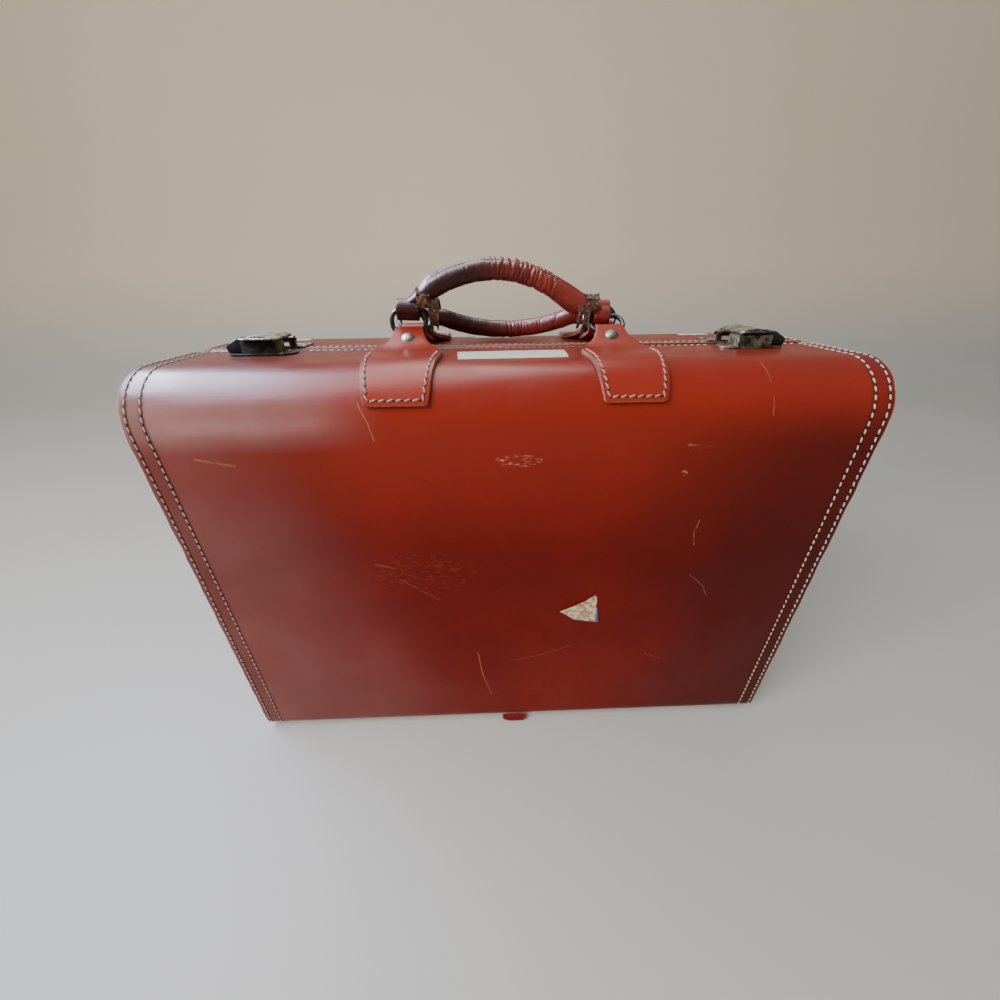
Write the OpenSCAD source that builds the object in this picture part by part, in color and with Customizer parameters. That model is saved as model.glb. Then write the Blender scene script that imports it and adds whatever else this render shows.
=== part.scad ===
// Vintage leather suitcase: two equally deep halves that hinge along the base and close at a seam
// over the top, with a pair of ringed carrying handles and two slide locks beside them.
// X runs along the width, Y from the front half (minus) to the rear half (plus), Z up from the floor.
// Everything is modelled for the front half and mirrored in the seam plane for the rear half.

/* [Case] */
// Width across the leather panels
case_w = 508; // [440:1:600]
// Depth from the front face to the rear face
case_d = 196; // [170:1:240]
// Height of the leather body without its studs
case_h = 355; // [300:1:420]
// Radius of the roll between a big face and the top
top_roll_r = 38; // [30:1:46]
// Radius of the roll between a big face and the base
base_roll_r = 10; // [8:0.5:16]
// Thickness of the wrapped leather panels
panel_t = 3; // [2.6:0.1:3.6]
// Thickness of the leather end walls
end_t = 3; // [2:0.1:4]
// How far the end walls sit in from the panels' cut edges
end_inset = 1.5; // [0.5:0.1:4]
// Width of the flange that joins an end wall to its panel
flange_w = 18; // [14:1:30]
// Thickness of the stiffening boards and of the flanges beside them
board_t = 1.5; // [1:0.1:2]
// Thickness of the lining tray
lining_t = 1; // [0.6:0.1:2]

/* [Rims] */
// Depth of each rounded leather rim along the seam
rim_d = 7; // [6:0.1:9]
// How far each rim reaches into the case
rim_h = 9; // [8.4:0.1:12]
// Inner radius of the rim's rounded corners
rim_bend_r = 2.5; // [1:0.5:10]
// Leather thickness of the rims
rim_wall = 1.9; // [1.4:0.1:2.2]
// Gap between the two closed rims
seam_gap = 1; // [0.6:0.1:2]
// Width of the steel frame's flange under the panels
frame_flange_w = 12; // [9:0.5:16]

/* [Handle tabs] */
// Distance of the tabs from the middle of the case
tab_x = 78; // [72:1:100]
// Width of each tab along its lower edge
tab_w = 41; // [34:1:46]
// Width of each tab at its shoulders
tab_top_w = 53; // [47:1:60]
// Leather thickness of each tab
tab_t = 3.4; // [2.4:0.1:4]
// How far the tab's lower edge lies below the top
tab_drop = 21; // [12:1:36]
// Corner radius of the tab's lower edge
tab_corner_r = 5; // [2:0.5:10]
// Distance of the tab's shoulders from the seam plane
tab_shoulder_y = 36; // [32:1:44]
// Length over which the shoulders narrow
tab_shoulder_l = 8; // [4:0.5:12]
// Width of the tab below its loop
tab_neck_w = 24; // [18:0.5:28]
// Width of the loop that holds the ring
loop_w = 17; // [12:0.5:18]
// Leather thickness of the loop
loop_wall = 2.5; // [1.6:0.1:3]
// Distance of the loop's axis from the seam plane
loop_y = 14; // [12:0.5:18]
// Height of the loop's axis above the top
loop_h = 12; // [10.5:0.5:14]
// Distance of the tab's rivet from the seam plane
tab_rivet_y = 25; // [23:0.5:28]
// Radius of the tab rivet's head
tab_rivet_r = 5.2; // [4:0.1:6]
// Height of the tab rivet's head
tab_rivet_h = 2.4; // [1.5:0.1:3.5]
// Radius of the tab rivet's shank
tab_shank_r = 2; // [1.2:0.1:3]

/* [Rings] */
// Outer width of a ring
ring_w = 29; // [26:0.5:36]
// Outer height of a ring
ring_h = 20.5; // [20:0.5:25]
// Outer corner radius of a ring
ring_corner_r = 9; // [7:0.5:9]
// Diameter of the ring's wire
wire_d = 3.5; // [2.5:0.1:4]
// Lean of the rear rings from upright, degrees
rear_ring_lean = 30; // [22:1:36]
// Lean of the front right ring from upright towards the rear, degrees
front_right_lean = 55; // [0:1:58]

/* [Handles] */
// Radius of the leather grip
grip_r = 7.2; // [6.8:0.1:8]
// Radius of the rope core inside the grip
core_r = 4.5; // [3:0.1:5]
// Rise of the grip's middle above its ring bars
handle_rise = 29; // [26:0.5:32]
// Radius of the grip's arch
handle_arc_r = 94; // [88:1:120]
// Half the length of the grip along the case
grip_half = 50; // [44:0.5:52]
// How far the front grip's arch has slid to the left of the handle's middle
front_grip_slide = 10; // [0:0.5:12]
// Height of the sewn ridge along the grip
ridge_h = 1.5; // [1:0.1:2.5]
// Thickness of the sewn ridge
ridge_t = 3; // [2:0.1:5]
// Outer radius of the handle's end loops
cap_r = 8; // [6.8:0.1:8.6]
// Width of the handle's end loops
cap_w = 17; // [12:0.5:17.5]
// Radius of the handle's neck at its end loop
neck_r = 4.6; // [4:0.1:4.8]
// Radius of the handle's neck at the grip
neck_grip_r = 6.2; // [5:0.1:6.4]
// Fall of the rear handle from upright, degrees
rear_handle_fall = 129; // [110:1:132]

/* [Locks] */
// Distance of the locks from the case's ends
lock_inset = 64; // [50:1:104]
// Length of a lock's plate
plate_l = 50; // [48:0.5:60]
// Depth of a lock's plate
plate_d = 22; // [20:0.5:24]
// Thickness of the lock and hasp plates
plate_t = 1.2; // [0.8:0.1:2]
// Distance of the lock plate's middle line from the seam plane
lock_y = 21; // [20:0.5:24]
// Length of the lock's box
box_l = 26; // [24:0.5:30]
// Depth of the lock's box
box_d = 15; // [13.5:0.5:18]
// Height of the lock's box above its plate
box_h = 8; // [7:0.1:9]
// Width of the pocket for the hasp's tongue
pocket_l = 11; // [10:0.5:13]
// Wall left in front of that pocket
pocket_wall = 4; // [2:0.5:5]
// Width of the thumb slide's bar
bar_w = 3.6; // [2.5:0.1:4.5]
// Height of the thumb slide's bar
bar_h = 2.4; // [1.6:0.1:2.6]
// Length of the thumb piece
thumb_l = 10; // [8:0.5:13]
// Depth of the thumb piece
thumb_d = 13; // [8:0.5:16]
// Height of the thumb piece beside the lock's box
thumb_h = 12; // [9:0.1:13]
// Height of the thumb piece at its outer end
thumb_tip_h = 7; // [5:0.1:8]
// Thickness of the flat spring under the slide
spring_t = 0.4; // [0.2:0.05:0.5]

/* [Hasps] */
// Width of the hasp
hasp_w = 24; // [20:0.5:28]
// Thickness of the hasp
hasp_t = 1.6; // [1.2:0.1:2.2]
// Rise of the hasp's rounded crown
hasp_crown = 2.4; // [1:0.1:4]
// Distance of the hasp's pin behind the seam plane
hasp_y = 9; // [8.5:0.5:12]
// Height of the hasp's pin above the leather
hasp_h = 7; // [6:0.1:7.8]
// Radius of the hasp's knuckles
hasp_knuckle_r = 2.6; // [2:0.1:2.7]
// Width of the hasp's own knuckle
hasp_knuckle_w = 13; // [8:0.5:15]
// Radius of the hasp's pin
hasp_pin_r = 1.2; // [0.8:0.1:1.6]
// Width of the tongue under the hasp
tongue_l = 9; // [6:0.5:9.5]
// Depth of the tongue
tongue_d = 6; // [4:0.5:7]
// Depth of the notch in the tongue's side
notch_l = 2; // [1:0.1:3]
// Length of the hasp's plate on the rear half
hasp_plate_l = 38; // [36:0.5:48]
// Depth of the hasp's plate on the rear half
hasp_plate_d = 20; // [18:0.5:26]
// Radius of the small rivets on locks and hasps
small_rivet_r = 1.8; // [1.4:0.1:2.2]
// Radius of the small rivets' shanks
small_shank_r = 1; // [0.7:0.1:1.3]
// Height of the small rivets' heads
small_rivet_h = 0.9; // [0.5:0.1:1.4]

/* [Hinges] */
// Distance of the outer hinges from the case's ends
hinge_inset = 84; // [74:1:134]
// Length of each hinge
hinge_l = 50; // [40:1:70]
// Depth of each hinge leaf from the pin
leaf_d = 22; // [19:0.5:30]
// Thickness of the hinge leaves
leaf_t = 1.2; // [0.8:0.1:1.6]
// Outer radius of the hinge knuckles
barrel_r = 2; // [1.7:0.05:2.1]
// Radius of the hinge pins
hinge_pin_r = 1.1; // [0.8:0.05:1.3]
// Distance between the two rivets of a hinge leaf
hinge_rivet_gap = 30; // [20:1:40]
// Radius of the hinge rivets' heads
hinge_rivet_r = 2.4; // [1.8:0.1:3]
// Height of the hinge rivets' heads
hinge_rivet_h = 0.8; // [0.4:0.1:1]
// Radius of the hinge rivets' shanks
hinge_shank_r = 1.3; // [0.8:0.1:1.6]

/* [Studs] */
// Height of the studs that the case stands on
stud_h = 3; // [2.8:0.1:6]
// Radius of a stud
stud_r = 6.5; // [5:0.1:9]
// Taper of a stud towards the floor
stud_taper = 1.2; // [0.4:0.1:2]
// Radius of a stud's shank
stud_shank_r = 1.5; // [1:0.1:2.5]
// Distance of the studs from the case's ends
stud_inset = 40; // [24:1:80]

/* [Hidden] */
$fn = 64;
// Clearance between layers that are glued or sewn together
layer_gap = 0.1;
// Clearance of the steel frame in its leather rim
frame_gap = 0.2;
// Clearance of a ring's wire in a leather loop
ring_gap = 0.3;
// Radial clearance of a pin in its knuckles
pin_fit = 0.05;
// Side clearance between knuckles
knuckle_gap = 0.3;
// Clearance round the thumb slide, and above the hasp's box
slide_gap = 0.2;
hasp_gap = 0.4;
// Overshoot of cutting tools
over = 1;

// The leather body
half_w = case_w / 2;
half_d = case_d / 2;
base_z = stud_h;
top_z = base_z + case_h;
// Layers, counted inwards from the leather's outer face
board_in = panel_t + layer_gap;
lining_in = board_in + board_t + layer_gap;
cavity_in = lining_in + lining_t;
// Distances from the seam plane
rim_front = seam_gap / 2;
rim_back = rim_front + rim_d;
panel_edge = rim_back + layer_gap;
flange_edge = panel_edge + frame_flange_w;
board_edge = flange_edge + layer_gap;
// Distances from the middle of the case
wall_x = half_w - end_inset;
wall_in_x = wall_x - end_t;
board_x = wall_in_x - layer_gap;
lining_x = board_x - board_t - layer_gap;
wrap_board_x = wall_x - flange_w - layer_gap;

// The rim's bead and the slot for the frame
bead_r = rim_d / 2;
rim_outer_r = rim_bend_r + rim_d;
slot_in = rim_h - rim_wall;
least_r = 0.5;
flange_r = max(rim_outer_r - board_in - board_t, least_r);
lining_r = flange_r - layer_gap;

// Rings: the centre line of the wire
wire_r = wire_d / 2;
ring_half = ring_w / 2 - wire_r;
ring_reach = ring_h - wire_d;
ring_bend = ring_corner_r - wire_r;
ring_flat = ring_half - ring_bend;
// How far the bent wire rises inside a loop of the given width
function wire_rise(w) = w / 2 <= ring_flat ? 0
    : ring_bend - sqrt(ring_bend * ring_bend - pow(w / 2 - ring_flat, 2));
loop_bore_r = wire_r + wire_rise(loop_w) + ring_gap;
loop_r = loop_bore_r + loop_wall;
// The front handle hangs between an upright left ring and a leaning right one
front_back = ring_reach * sin(front_right_lean);
front_drop = ring_reach * (1 - cos(front_right_lean));
front_yaw = atan2(front_back, 2 * tab_x);
front_dip = atan2(front_drop, norm([2 * tab_x, front_back]));
front_skew = acos(cos(front_yaw) * cos(front_dip));
cap_bore_r = wire_r + wire_rise(cap_w) + ring_gap + tan(front_skew) * cap_w / 2;
// Axes of the front loops, and of the front and rear handles
loop_z = top_z + loop_h;

// Side view of a tab's neck: tangents from the strap to the loop, in heights above the top
strap_top = layer_gap + tab_t;
neck_foot = [-tab_shoulder_y - tab_shoulder_l / 2, layer_gap];
neck_heel = [-tab_shoulder_y, strap_top];
loop_mid = [-loop_y, loop_h];
function tangent_point(p, c, r, side) =
    let (v = c - p, a = atan2(v[1], v[0]) + side * asin(r / norm(v)))
    c + r * side * [-sin(a), cos(a)];
neck_top = tangent_point(neck_heel, loop_mid, loop_r, 1);
neck_low = tangent_point(neck_foot, loop_mid, loop_r, -1);
neck_slope = (neck_top[1] - neck_heel[1]) / (neck_top[0] - neck_heel[0]);
neck_under = (neck_low[1] - neck_foot[1]) / (neck_low[0] - neck_foot[0]);
neck_a = atan(neck_slope);
// The tab's rivet stands square on the neck and goes through it
rivet_foot = [-tab_rivet_y, strap_top + (tab_shoulder_y - tab_rivet_y) * neck_slope];
rivet_l = (rivet_foot[1] - neck_foot[1] - (rivet_foot[0] - neck_foot[0]) * neck_under)
    / (cos(neck_a) + neck_under * sin(neck_a));
// Middles of the tab's rounded lower corners, a little outwards so that they meet its tapering sides
tab_corner_x = tab_w / 2 - tab_corner_r + 1;

// The grip's arch, with the ring bars' axis at height nought
arc_z = handle_rise - handle_arc_r;
arc_a = asin(grip_half / handle_arc_r);
grip_end = [handle_arc_r * sin(arc_a), arc_z + handle_arc_r * cos(arc_a)];
// The neck lies on top of the end loop, clear of the ring's corner
neck_lift = wire_r + ring_gap + neck_r;

// Lock: heights are above the leather top, distances along X from the lock's middle
lock_x = half_w - lock_inset;
box_front = lock_y + box_d / 2;
box_rear = lock_y - box_d / 2;
box_top = plate_t + box_h;
pocket_y = (box_front - pocket_wall + box_rear) / 2;
pocket_floor = plate_t + 0.8;
bar_low = plate_t + spring_t + 0.6;
bar_top = bar_low + bar_h;
nose_x = pocket_l / 2 + slide_gap;
thumb_x = box_l / 2 + 1.5;
plate_round = plate_d / 2;
rivet_x = plate_l / 2 - plate_round + 2;
rivet_spread = plate_d / 2 - small_rivet_r - 2.4;

// Hasp: its plate lies over the lock's box
hasp_low = box_top + hasp_gap;
hasp_top = hasp_low + hasp_t;
hasp_tip = box_front + 1.5;
hasp_free = hasp_y - hasp_knuckle_r - knuckle_gap - 0.3;
hasp_plate_mid = hasp_y - 1 + hasp_plate_d / 2;
hasp_rivet_x = hasp_plate_l / 2 - small_rivet_r - 0.8;

// Hinges
hinge_x = half_w - hinge_inset;
hinge_z = base_z - 0.6;
leaf_low = hinge_z + 0.3;
leaf_top = leaf_low + leaf_t;
leaf_near = barrel_r + 0.4;
knuckles = 5;
knuckle_l = hinge_l / knuckles;
hinge_rivet_y = panel_edge + frame_flange_w / 2;
// Shanks end in the layer behind the leather
shank_top = base_z + lining_in - layer_gap;
shank_end = top_z - lining_in + layer_gap;

stud_y = half_d - base_roll_r - stud_r - 0.5;

leather = [0.42, 0.10, 0.07];
dark_leather = [0.26, 0.07, 0.05];
old_brass = [0.42, 0.36, 0.24];
dark_steel = [0.28, 0.28, 0.27];

// Placing helpers
module along_x(x0, x1) { translate([x0, 0, 0]) rotate([90, 0, 90]) linear_extrude(x1 - x0) children(); }
module along_y(y0, y1) { translate([0, y1, 0]) rotate([90, 0, 0]) linear_extrude(y1 - y0) children(); }
module rear() { mirror([0, 1, 0]) children(); }
module on_side(side) { if (side < 0) mirror([1, 0, 0]) children(); else children(); }
module at_lock(side) { on_side(side) translate([lock_x, 0, top_z]) children(); }
module x_rod(x0, x1, r) { translate([x0, 0, 0]) rotate([0, 90, 0]) cylinder(h = x1 - x0, r = r); }

// Side view of one half, in Y and Z, drawn in by inset and open to seam_y
module half_outline(inset, seam_y) {
    top_r = top_roll_r - inset;
    low_r = max(base_roll_r - inset, least_r);
    face = -half_d + inset;
    low = base_z + inset;
    high = top_z - inset;
    translate([face, low + low_r]) square([seam_y - face, high - low - low_r - top_r]);
    translate([face + top_r, high - top_r]) square([seam_y - face - top_r, top_r]);
    translate([face + low_r, low]) square([seam_y - face - low_r, low_r]);
    translate([face + top_r, high - top_r]) circle(top_r);
    translate([face + low_r, low + low_r]) circle(low_r);
}

// A layer that follows the half's outline
module half_shell(inset, t, seam_y) {
    difference() {
        half_outline(inset, seam_y);
        half_outline(inset + t, seam_y + over);
    }
}

// Upright rectangle with round corners, in X and Z, drawn in from the end walls and from top and base
module seam_rect(in_x, in_z, r) {
    x = wall_x - in_x;
    low = base_z + in_z;
    high = top_z - in_z;
    translate([-x + r, low]) square([2 * (x - r), high - low]);
    translate([-x, low + r]) square([2 * x, high - low - 2 * r]);
    for (sx = [-1, 1], z = [low + r, high - r]) translate([sx * (x - r), z]) circle(r);
}

// Holes for the fasteners that pass through the top and the base of one half
module fastener_holes(lock_holes) {
    for (side = [-1, 1]) {
        for (p = lock_holes) on_side(side) translate([lock_x + p[0], p[1], shank_end - over])
            cylinder(h = top_z - shank_end + 2 * over, r = small_shank_r + pin_fit);
        on_side(side) translate([half_w - stud_inset, -stud_y, base_z - over])
            cylinder(h = shank_top - base_z + 2 * over, r = stud_shank_r + pin_fit);
    }
    for (x = hinge_places(), s = [-1, 1])
        translate([x + s * hinge_rivet_gap / 2, -hinge_rivet_y, base_z - over])
            cylinder(h = shank_top - base_z + 2 * over, r = hinge_shank_r + pin_fit);
}
function hinge_places() = [-hinge_x, 0, hinge_x];
function lock_rivet_places() = [for (s = [-1, 1]) [-rivet_x, -lock_y + s * rivet_spread]];
function hasp_rivet_places() = [for (s = [-1, 1]) [s * hasp_rivet_x, -hasp_plate_mid]];

// Recesses for the hinge leaves in the base
module hinge_recesses() {
    for (x = hinge_places())
        translate([x - hinge_l / 2 - slide_gap, -leaf_d - slide_gap, base_z - over])
            cube([hinge_l + 2 * slide_gap, leaf_d + slide_gap, leaf_top - base_z + over + layer_gap]);
}

// Leather panel that wraps base, face, roll and top of one half
module panel(lock_holes) {
    difference() {
        along_x(-half_w, half_w) half_shell(0, panel_t, -panel_edge);
        fastener_holes(lock_holes);
        hinge_recesses();
    }
}

// End wall with the flange that is sewn under the panel's edge
module end_wall(side) {
    on_side(side) {
        along_x(wall_in_x, wall_x) half_outline(board_in, -panel_edge);
        along_x(wall_x - flange_w, wall_x) half_shell(board_in, board_t, -board_edge);
    }
}

// Stiffening boards: one behind the panel and one behind each end wall
module boards(lock_holes) {
    difference() {
        along_x(-wrap_board_x, wrap_board_x) half_shell(board_in, board_t, -board_edge);
        fastener_holes(lock_holes);
    }
    for (side = [-1, 1]) on_side(side)
        along_x(board_x - board_t, board_x) half_outline(lining_in, -board_edge);
}

// Lining tray, its corners rounded to lie inside the frame's flange
module lining_block(x, inset, r, seam_y) {
    intersection() {
        along_x(-x, x) half_outline(inset, seam_y);
        along_y(-half_d, over) seam_rect(wall_x - x, inset, r);
    }
}
module lining() {
    difference() {
        lining_block(lining_x, lining_in, lining_r, -panel_edge);
        lining_block(lining_x - lining_t, cavity_in, lining_r - lining_t, over);
    }
}

// Rounded leather rim round the opening, hollow for the frame
module rim() {
    x = wall_x - rim_outer_r;
    low = base_z + rim_outer_r;
    high = top_z - rim_outer_r;
    bead_x = wall_x - bead_r;
    difference() {
        union() {
            translate([0, -rim_front - bead_r, 0]) {
                for (z = [base_z + bead_r, top_z - bead_r]) translate([0, 0, z]) x_rod(-x, x, bead_r);
                for (sx = [-1, 1]) translate([sx * bead_x, 0, low]) cylinder(h = high - low, r = bead_r);
                for (c = [[x, high, 0], [-x, high, 90], [-x, low, 180], [x, low, 270]])
                    translate([c[0], 0, c[1]]) rotate([90, 0, 0]) rotate([0, 0, c[2]])
                        rotate_extrude(angle = 90) translate([rim_outer_r - bead_r, 0]) circle(bead_r);
            }
            along_y(-rim_back, -rim_front) difference() {
                seam_rect(bead_r, bead_r, rim_outer_r - bead_r);
                seam_rect(rim_h, rim_h, max(rim_outer_r - rim_h, least_r));
            }
        }
        along_y(-rim_back - over, -rim_front - rim_wall) difference() {
            seam_rect(rim_wall, rim_wall, rim_outer_r - rim_wall);
            seam_rect(slot_in, slot_in, max(rim_outer_r - slot_in, least_r));
        }
        hinge_recesses();
    }
}

// Steel frame: a bar inside the rim, and a flange that the panel's edge is sewn to
module frame(lock_holes) {
    bar_in = rim_wall + frame_gap;
    bar_out = slot_in - frame_gap;
    side_in = end_t + layer_gap;
    difference() {
        union() {
            along_y(-rim_back, -rim_front - rim_wall - frame_gap) difference() {
                seam_rect(bar_in, bar_in, rim_outer_r - bar_in);
                seam_rect(bar_out, bar_out, max(rim_outer_r - bar_out, least_r));
            }
            along_y(-flange_edge, -rim_back + rim_wall) difference() {
                seam_rect(side_in, board_in, rim_outer_r - board_in);
                seam_rect(side_in + board_t, board_in + board_t, flange_r);
            }
        }
        fastener_holes(lock_holes);
    }
}

// Leather tab: a strap over the roll, narrowing to a neck and a loop for the ring
module tab(side) {
    low = top_z - tab_drop;
    wide = tab_top_w / 2;
    on_side(side) translate([tab_x, 0, 0]) difference() {
        intersection() {
            along_x(-wide, wide) {
                intersection() {
                    half_shell(-strap_top, tab_t, -tab_shoulder_y);
                    translate([-2 * half_d, low]) square([2 * half_d - tab_shoulder_y, 2 * tab_drop]);
                }
                translate([0, top_z]) {
                    polygon([neck_foot, neck_low, loop_mid, neck_top, neck_heel, neck_foot + [0, tab_t]]);
                    translate(loop_mid) circle(loop_r);
                }
            }
            along_y(-2 * half_d, over) {
                translate([-wide, low + tab_corner_r]) square([tab_top_w, 4 * tab_drop]);
                translate([-tab_corner_x, low]) square([2 * tab_corner_x, 2 * tab_corner_r]);
                for (s = [-1, 1]) translate([s * tab_corner_x, low + tab_corner_r]) circle(tab_corner_r);
            }
            linear_extrude(2 * top_z) polygon(concat(
                [for (p = tab_plan()) [p[0], p[1]]],
                [for (i = [len(tab_plan()) - 1 : -1 : 0]) [-tab_plan()[i][0], tab_plan()[i][1]]]));
        }
        translate([0, -loop_y, loop_z]) x_rod(-tab_w, tab_w, loop_bore_r);
        on_neck() translate([0, 0, -rivet_l - tab_t])
            cylinder(h = rivet_l + 2 * tab_t, r = tab_shank_r + pin_fit);
    }
}
module on_neck() { translate([0, rivet_foot[0], top_z + rivet_foot[1]]) rotate([neck_a, 0, 0]) children(); }
// Half of the tab's plan: half widths against Y
function tab_plan() = [
    [tab_w / 2, -2 * half_d],
    [tab_w / 2, -half_d - strap_top],
    [tab_top_w / 2, -tab_shoulder_y - tab_shoulder_l / 2],
    [tab_neck_w / 2, -tab_shoulder_y + tab_shoulder_l / 2],
    [loop_w / 2, -loop_y - loop_r / 2],
    [loop_w / 2, 0]
];

// Round-headed rivets through the necks of the tabs
module tab_rivets() {
    ball_r = (tab_rivet_r * tab_rivet_r + tab_rivet_h * tab_rivet_h) / (2 * tab_rivet_h);
    for (side = [-1, 1]) on_side(side) translate([tab_x, 0, 0]) on_neck() {
        intersection() {
            translate([0, 0, tab_rivet_h - ball_r]) sphere(ball_r);
            cylinder(h = 2 * tab_rivet_h, r = 2 * tab_rivet_r);
        }
        translate([0, 0, -rivet_l]) cylinder(h = rivet_l + tab_rivet_h / 2, r = tab_shank_r);
    }
}

// Wire ring, standing on its lower bar at the origin
module ring() {
    for (z = [0, ring_reach]) translate([0, 0, z]) x_rod(-ring_flat, ring_flat, wire_r);
    for (s = [-1, 1]) translate([s * ring_half, 0, ring_bend])
        cylinder(h = ring_reach - 2 * ring_bend, r = wire_r);
    for (c = [[1, 1, 0], [-1, 1, 90], [-1, 0, 180], [1, 0, 270]])
        translate([c[0] * ring_flat, 0, c[1] > 0 ? ring_reach - ring_bend : ring_bend])
            rotate([90, 0, 0]) rotate([0, 0, c[2]])
                rotate_extrude(angle = 90) translate([ring_bend, 0]) circle(wire_r);
}
// Places of the rings and handles: the front left ring stands, the others lean back
module front_loop() { translate([0, -loop_y, loop_z]) children(); }
module rear_loop() { translate([0, loop_y, loop_z]) rotate([-rear_ring_lean, 0, 0]) children(); }
module front_bar() {
    front_loop() translate([0, front_back / 2, ring_reach - front_drop / 2])
        rotate([0, front_dip, front_yaw]) children();
}
module rear_bar() {
    rear_loop() translate([0, 0, ring_reach]) rotate([rear_ring_lean - rear_handle_fall, 0, 0]) children();
}

// Grip: a rolled leather tube bent to a shallow arch, with a sewn ridge along its top
module arch(slide) {
    translate([-slide, 0, arc_z]) rotate([90, 0, 0]) rotate([0, 0, 90 - arc_a])
        rotate_extrude(angle = 2 * arc_a) translate([handle_arc_r, 0]) children();
}
module grip(slide = 0) {
    arch(slide) difference() {
        union() {
            circle(grip_r);
            translate([grip_r / 2, -ridge_t / 2]) square([grip_r / 2 + ridge_h, ridge_t]);
        }
        circle(core_r);
    }
}
module grip_core(slide = 0) { arch(slide) circle(core_r - layer_gap); }

// End of a handle: a neck from the grip to a loop round the ring's upper bar
module handle_end(side, slide = 0) {
    end_x = grip_end[0] - side * slide;
    run = [tab_x - end_x, neck_lift - grip_end[1]];
    bury = grip_r * sin(arc_a) + over;
    on_side(side) difference() {
        union() {
            translate([tab_x, 0, 0]) x_rod(-cap_w / 2, cap_w / 2, cap_r);
            difference() {
                translate([end_x, 0, grip_end[1]])
                    rotate([0, atan2(run[0], run[1]), 0])
                        translate([0, 0, -bury])
                            cylinder(h = norm(run) + bury, r1 = neck_grip_r, r2 = neck_r);
                translate([end_x - grip_end[0], 0, arc_z]) rotate([0, arc_a - 90, 0])
                    translate([0, -handle_arc_r, -layer_gap])
                        cube([2 * handle_arc_r, 2 * handle_arc_r, 2 * handle_arc_r]);
            }
        }
        translate([tab_x, 0, 0]) x_rod(-cap_w, cap_w, cap_bore_r);
    }
}

// Lock on the front half: a round-ended plate with a box, a pocket for the tongue and a slide channel
module lock_plate_plan() {
    flat = plate_l / 2 - plate_round;
    translate([-flat, -lock_y - plate_round]) square([2 * flat, plate_d]);
    for (s = [-1, 1]) translate([s * flat, -lock_y]) circle(plate_round);
}
module lock(side) {
    at_lock(side) difference() {
        union() {
            linear_extrude(plate_t) lock_plate_plan();
            translate([-box_l / 2, -box_front, plate_t / 2]) cube([box_l, box_d, box_top - plate_t / 2]);
        }
        translate([-pocket_l / 2, -box_front + pocket_wall, pocket_floor])
            cube([pocket_l, box_d, box_h + over]);
        translate([0, -pocket_y - bar_w / 2 - slide_gap, plate_t])
            cube([box_l, bar_w + 2 * slide_gap, bar_top + slide_gap - plate_t]);
        for (p = lock_rivet_places()) translate([p[0], p[1], -over])
            cylinder(h = plate_t + 2 * over, r = small_shank_r + pin_fit);
    }
}

// Flat bowed spring that presses on the slide from below
module lock_spring(side) {
    x0 = pocket_l / 2 + slide_gap;
    x1 = box_l / 2 - slide_gap;
    crest = bar_low - layer_gap;
    at_lock(side) translate([0, -pocket_y + bar_w / 2, 0]) rotate([90, 0, 0]) linear_extrude(bar_w)
        polygon([[x0, plate_t], [(x0 + x1) / 2, crest - spring_t], [x1, plate_t], [x1, plate_t + spring_t],
            [(x0 + x1) / 2, crest], [x0, plate_t + spring_t]]);
}

// Thumb slide: a bar with a nose for the tongue's notch, and a raised thumb piece outside the box
module thumb_slide(side) {
    low = plate_t + slide_gap;
    x1 = thumb_x + thumb_l;
    at_lock(side) {
        translate([nose_x, -pocket_y - bar_w / 2, bar_low])
            cube([thumb_x + thumb_l / 2 - nose_x, bar_w, bar_h]);
        translate([0, -pocket_y + thumb_d / 2, 0]) rotate([90, 0, 0]) linear_extrude(thumb_d)
            polygon([[thumb_x, low], [x1, low], [x1 + plate_t, thumb_tip_h - plate_t],
                [x1, thumb_tip_h], [thumb_x + plate_t, thumb_h], [thumb_x, thumb_h - plate_t]]);
    }
}

// Small round-headed rivets
module small_rivet(seat, tail) {
    ball_r = (small_rivet_r * small_rivet_r + small_rivet_h * small_rivet_h) / (2 * small_rivet_h);
    translate([0, 0, seat]) intersection() {
        translate([0, 0, small_rivet_h - ball_r]) sphere(ball_r);
        cylinder(h = 2 * small_rivet_h, r = 2 * small_rivet_r);
    }
    translate([0, 0, tail]) cylinder(h = seat - tail + small_rivet_h / 2, r = small_shank_r);
}
module plate_rivets(places) {
    for (side = [-1, 1], p = places) at_lock(side) translate([p[0], p[1], 0])
        small_rivet(plate_t, shank_end - top_z);
}

// Hasp plate on the rear half, with two knuckles and their webs
module hasp_plate(side) {
    inner = hasp_knuckle_w / 2 + knuckle_gap;
    at_lock(side) difference() {
        union() {
            translate([-hasp_plate_l / 2, hasp_y - 1, 0]) cube([hasp_plate_l, hasp_plate_d, plate_t]);
            for (s = [-1, 1]) on_side(s) {
                translate([0, hasp_y, hasp_h]) x_rod(inner, hasp_w / 2, hasp_knuckle_r);
                translate([inner, hasp_y - 1, plate_t / 2])
                    cube([hasp_w / 2 - inner, hasp_knuckle_r + 1, hasp_h - plate_t / 2]);
            }
        }
        translate([0, hasp_y, hasp_h]) x_rod(-hasp_w, hasp_w, hasp_pin_r + pin_fit);
        for (p = hasp_rivet_places()) translate([p[0], -p[1], -over])
            cylinder(h = plate_t + 2 * over, r = small_shank_r + pin_fit);
    }
}
module hasp_pins() {
    for (side = [-1, 1]) at_lock(side) translate([0, hasp_y, hasp_h])
        x_rod(-hasp_w / 2 - plate_t, hasp_w / 2 + plate_t, hasp_pin_r);
}

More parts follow.
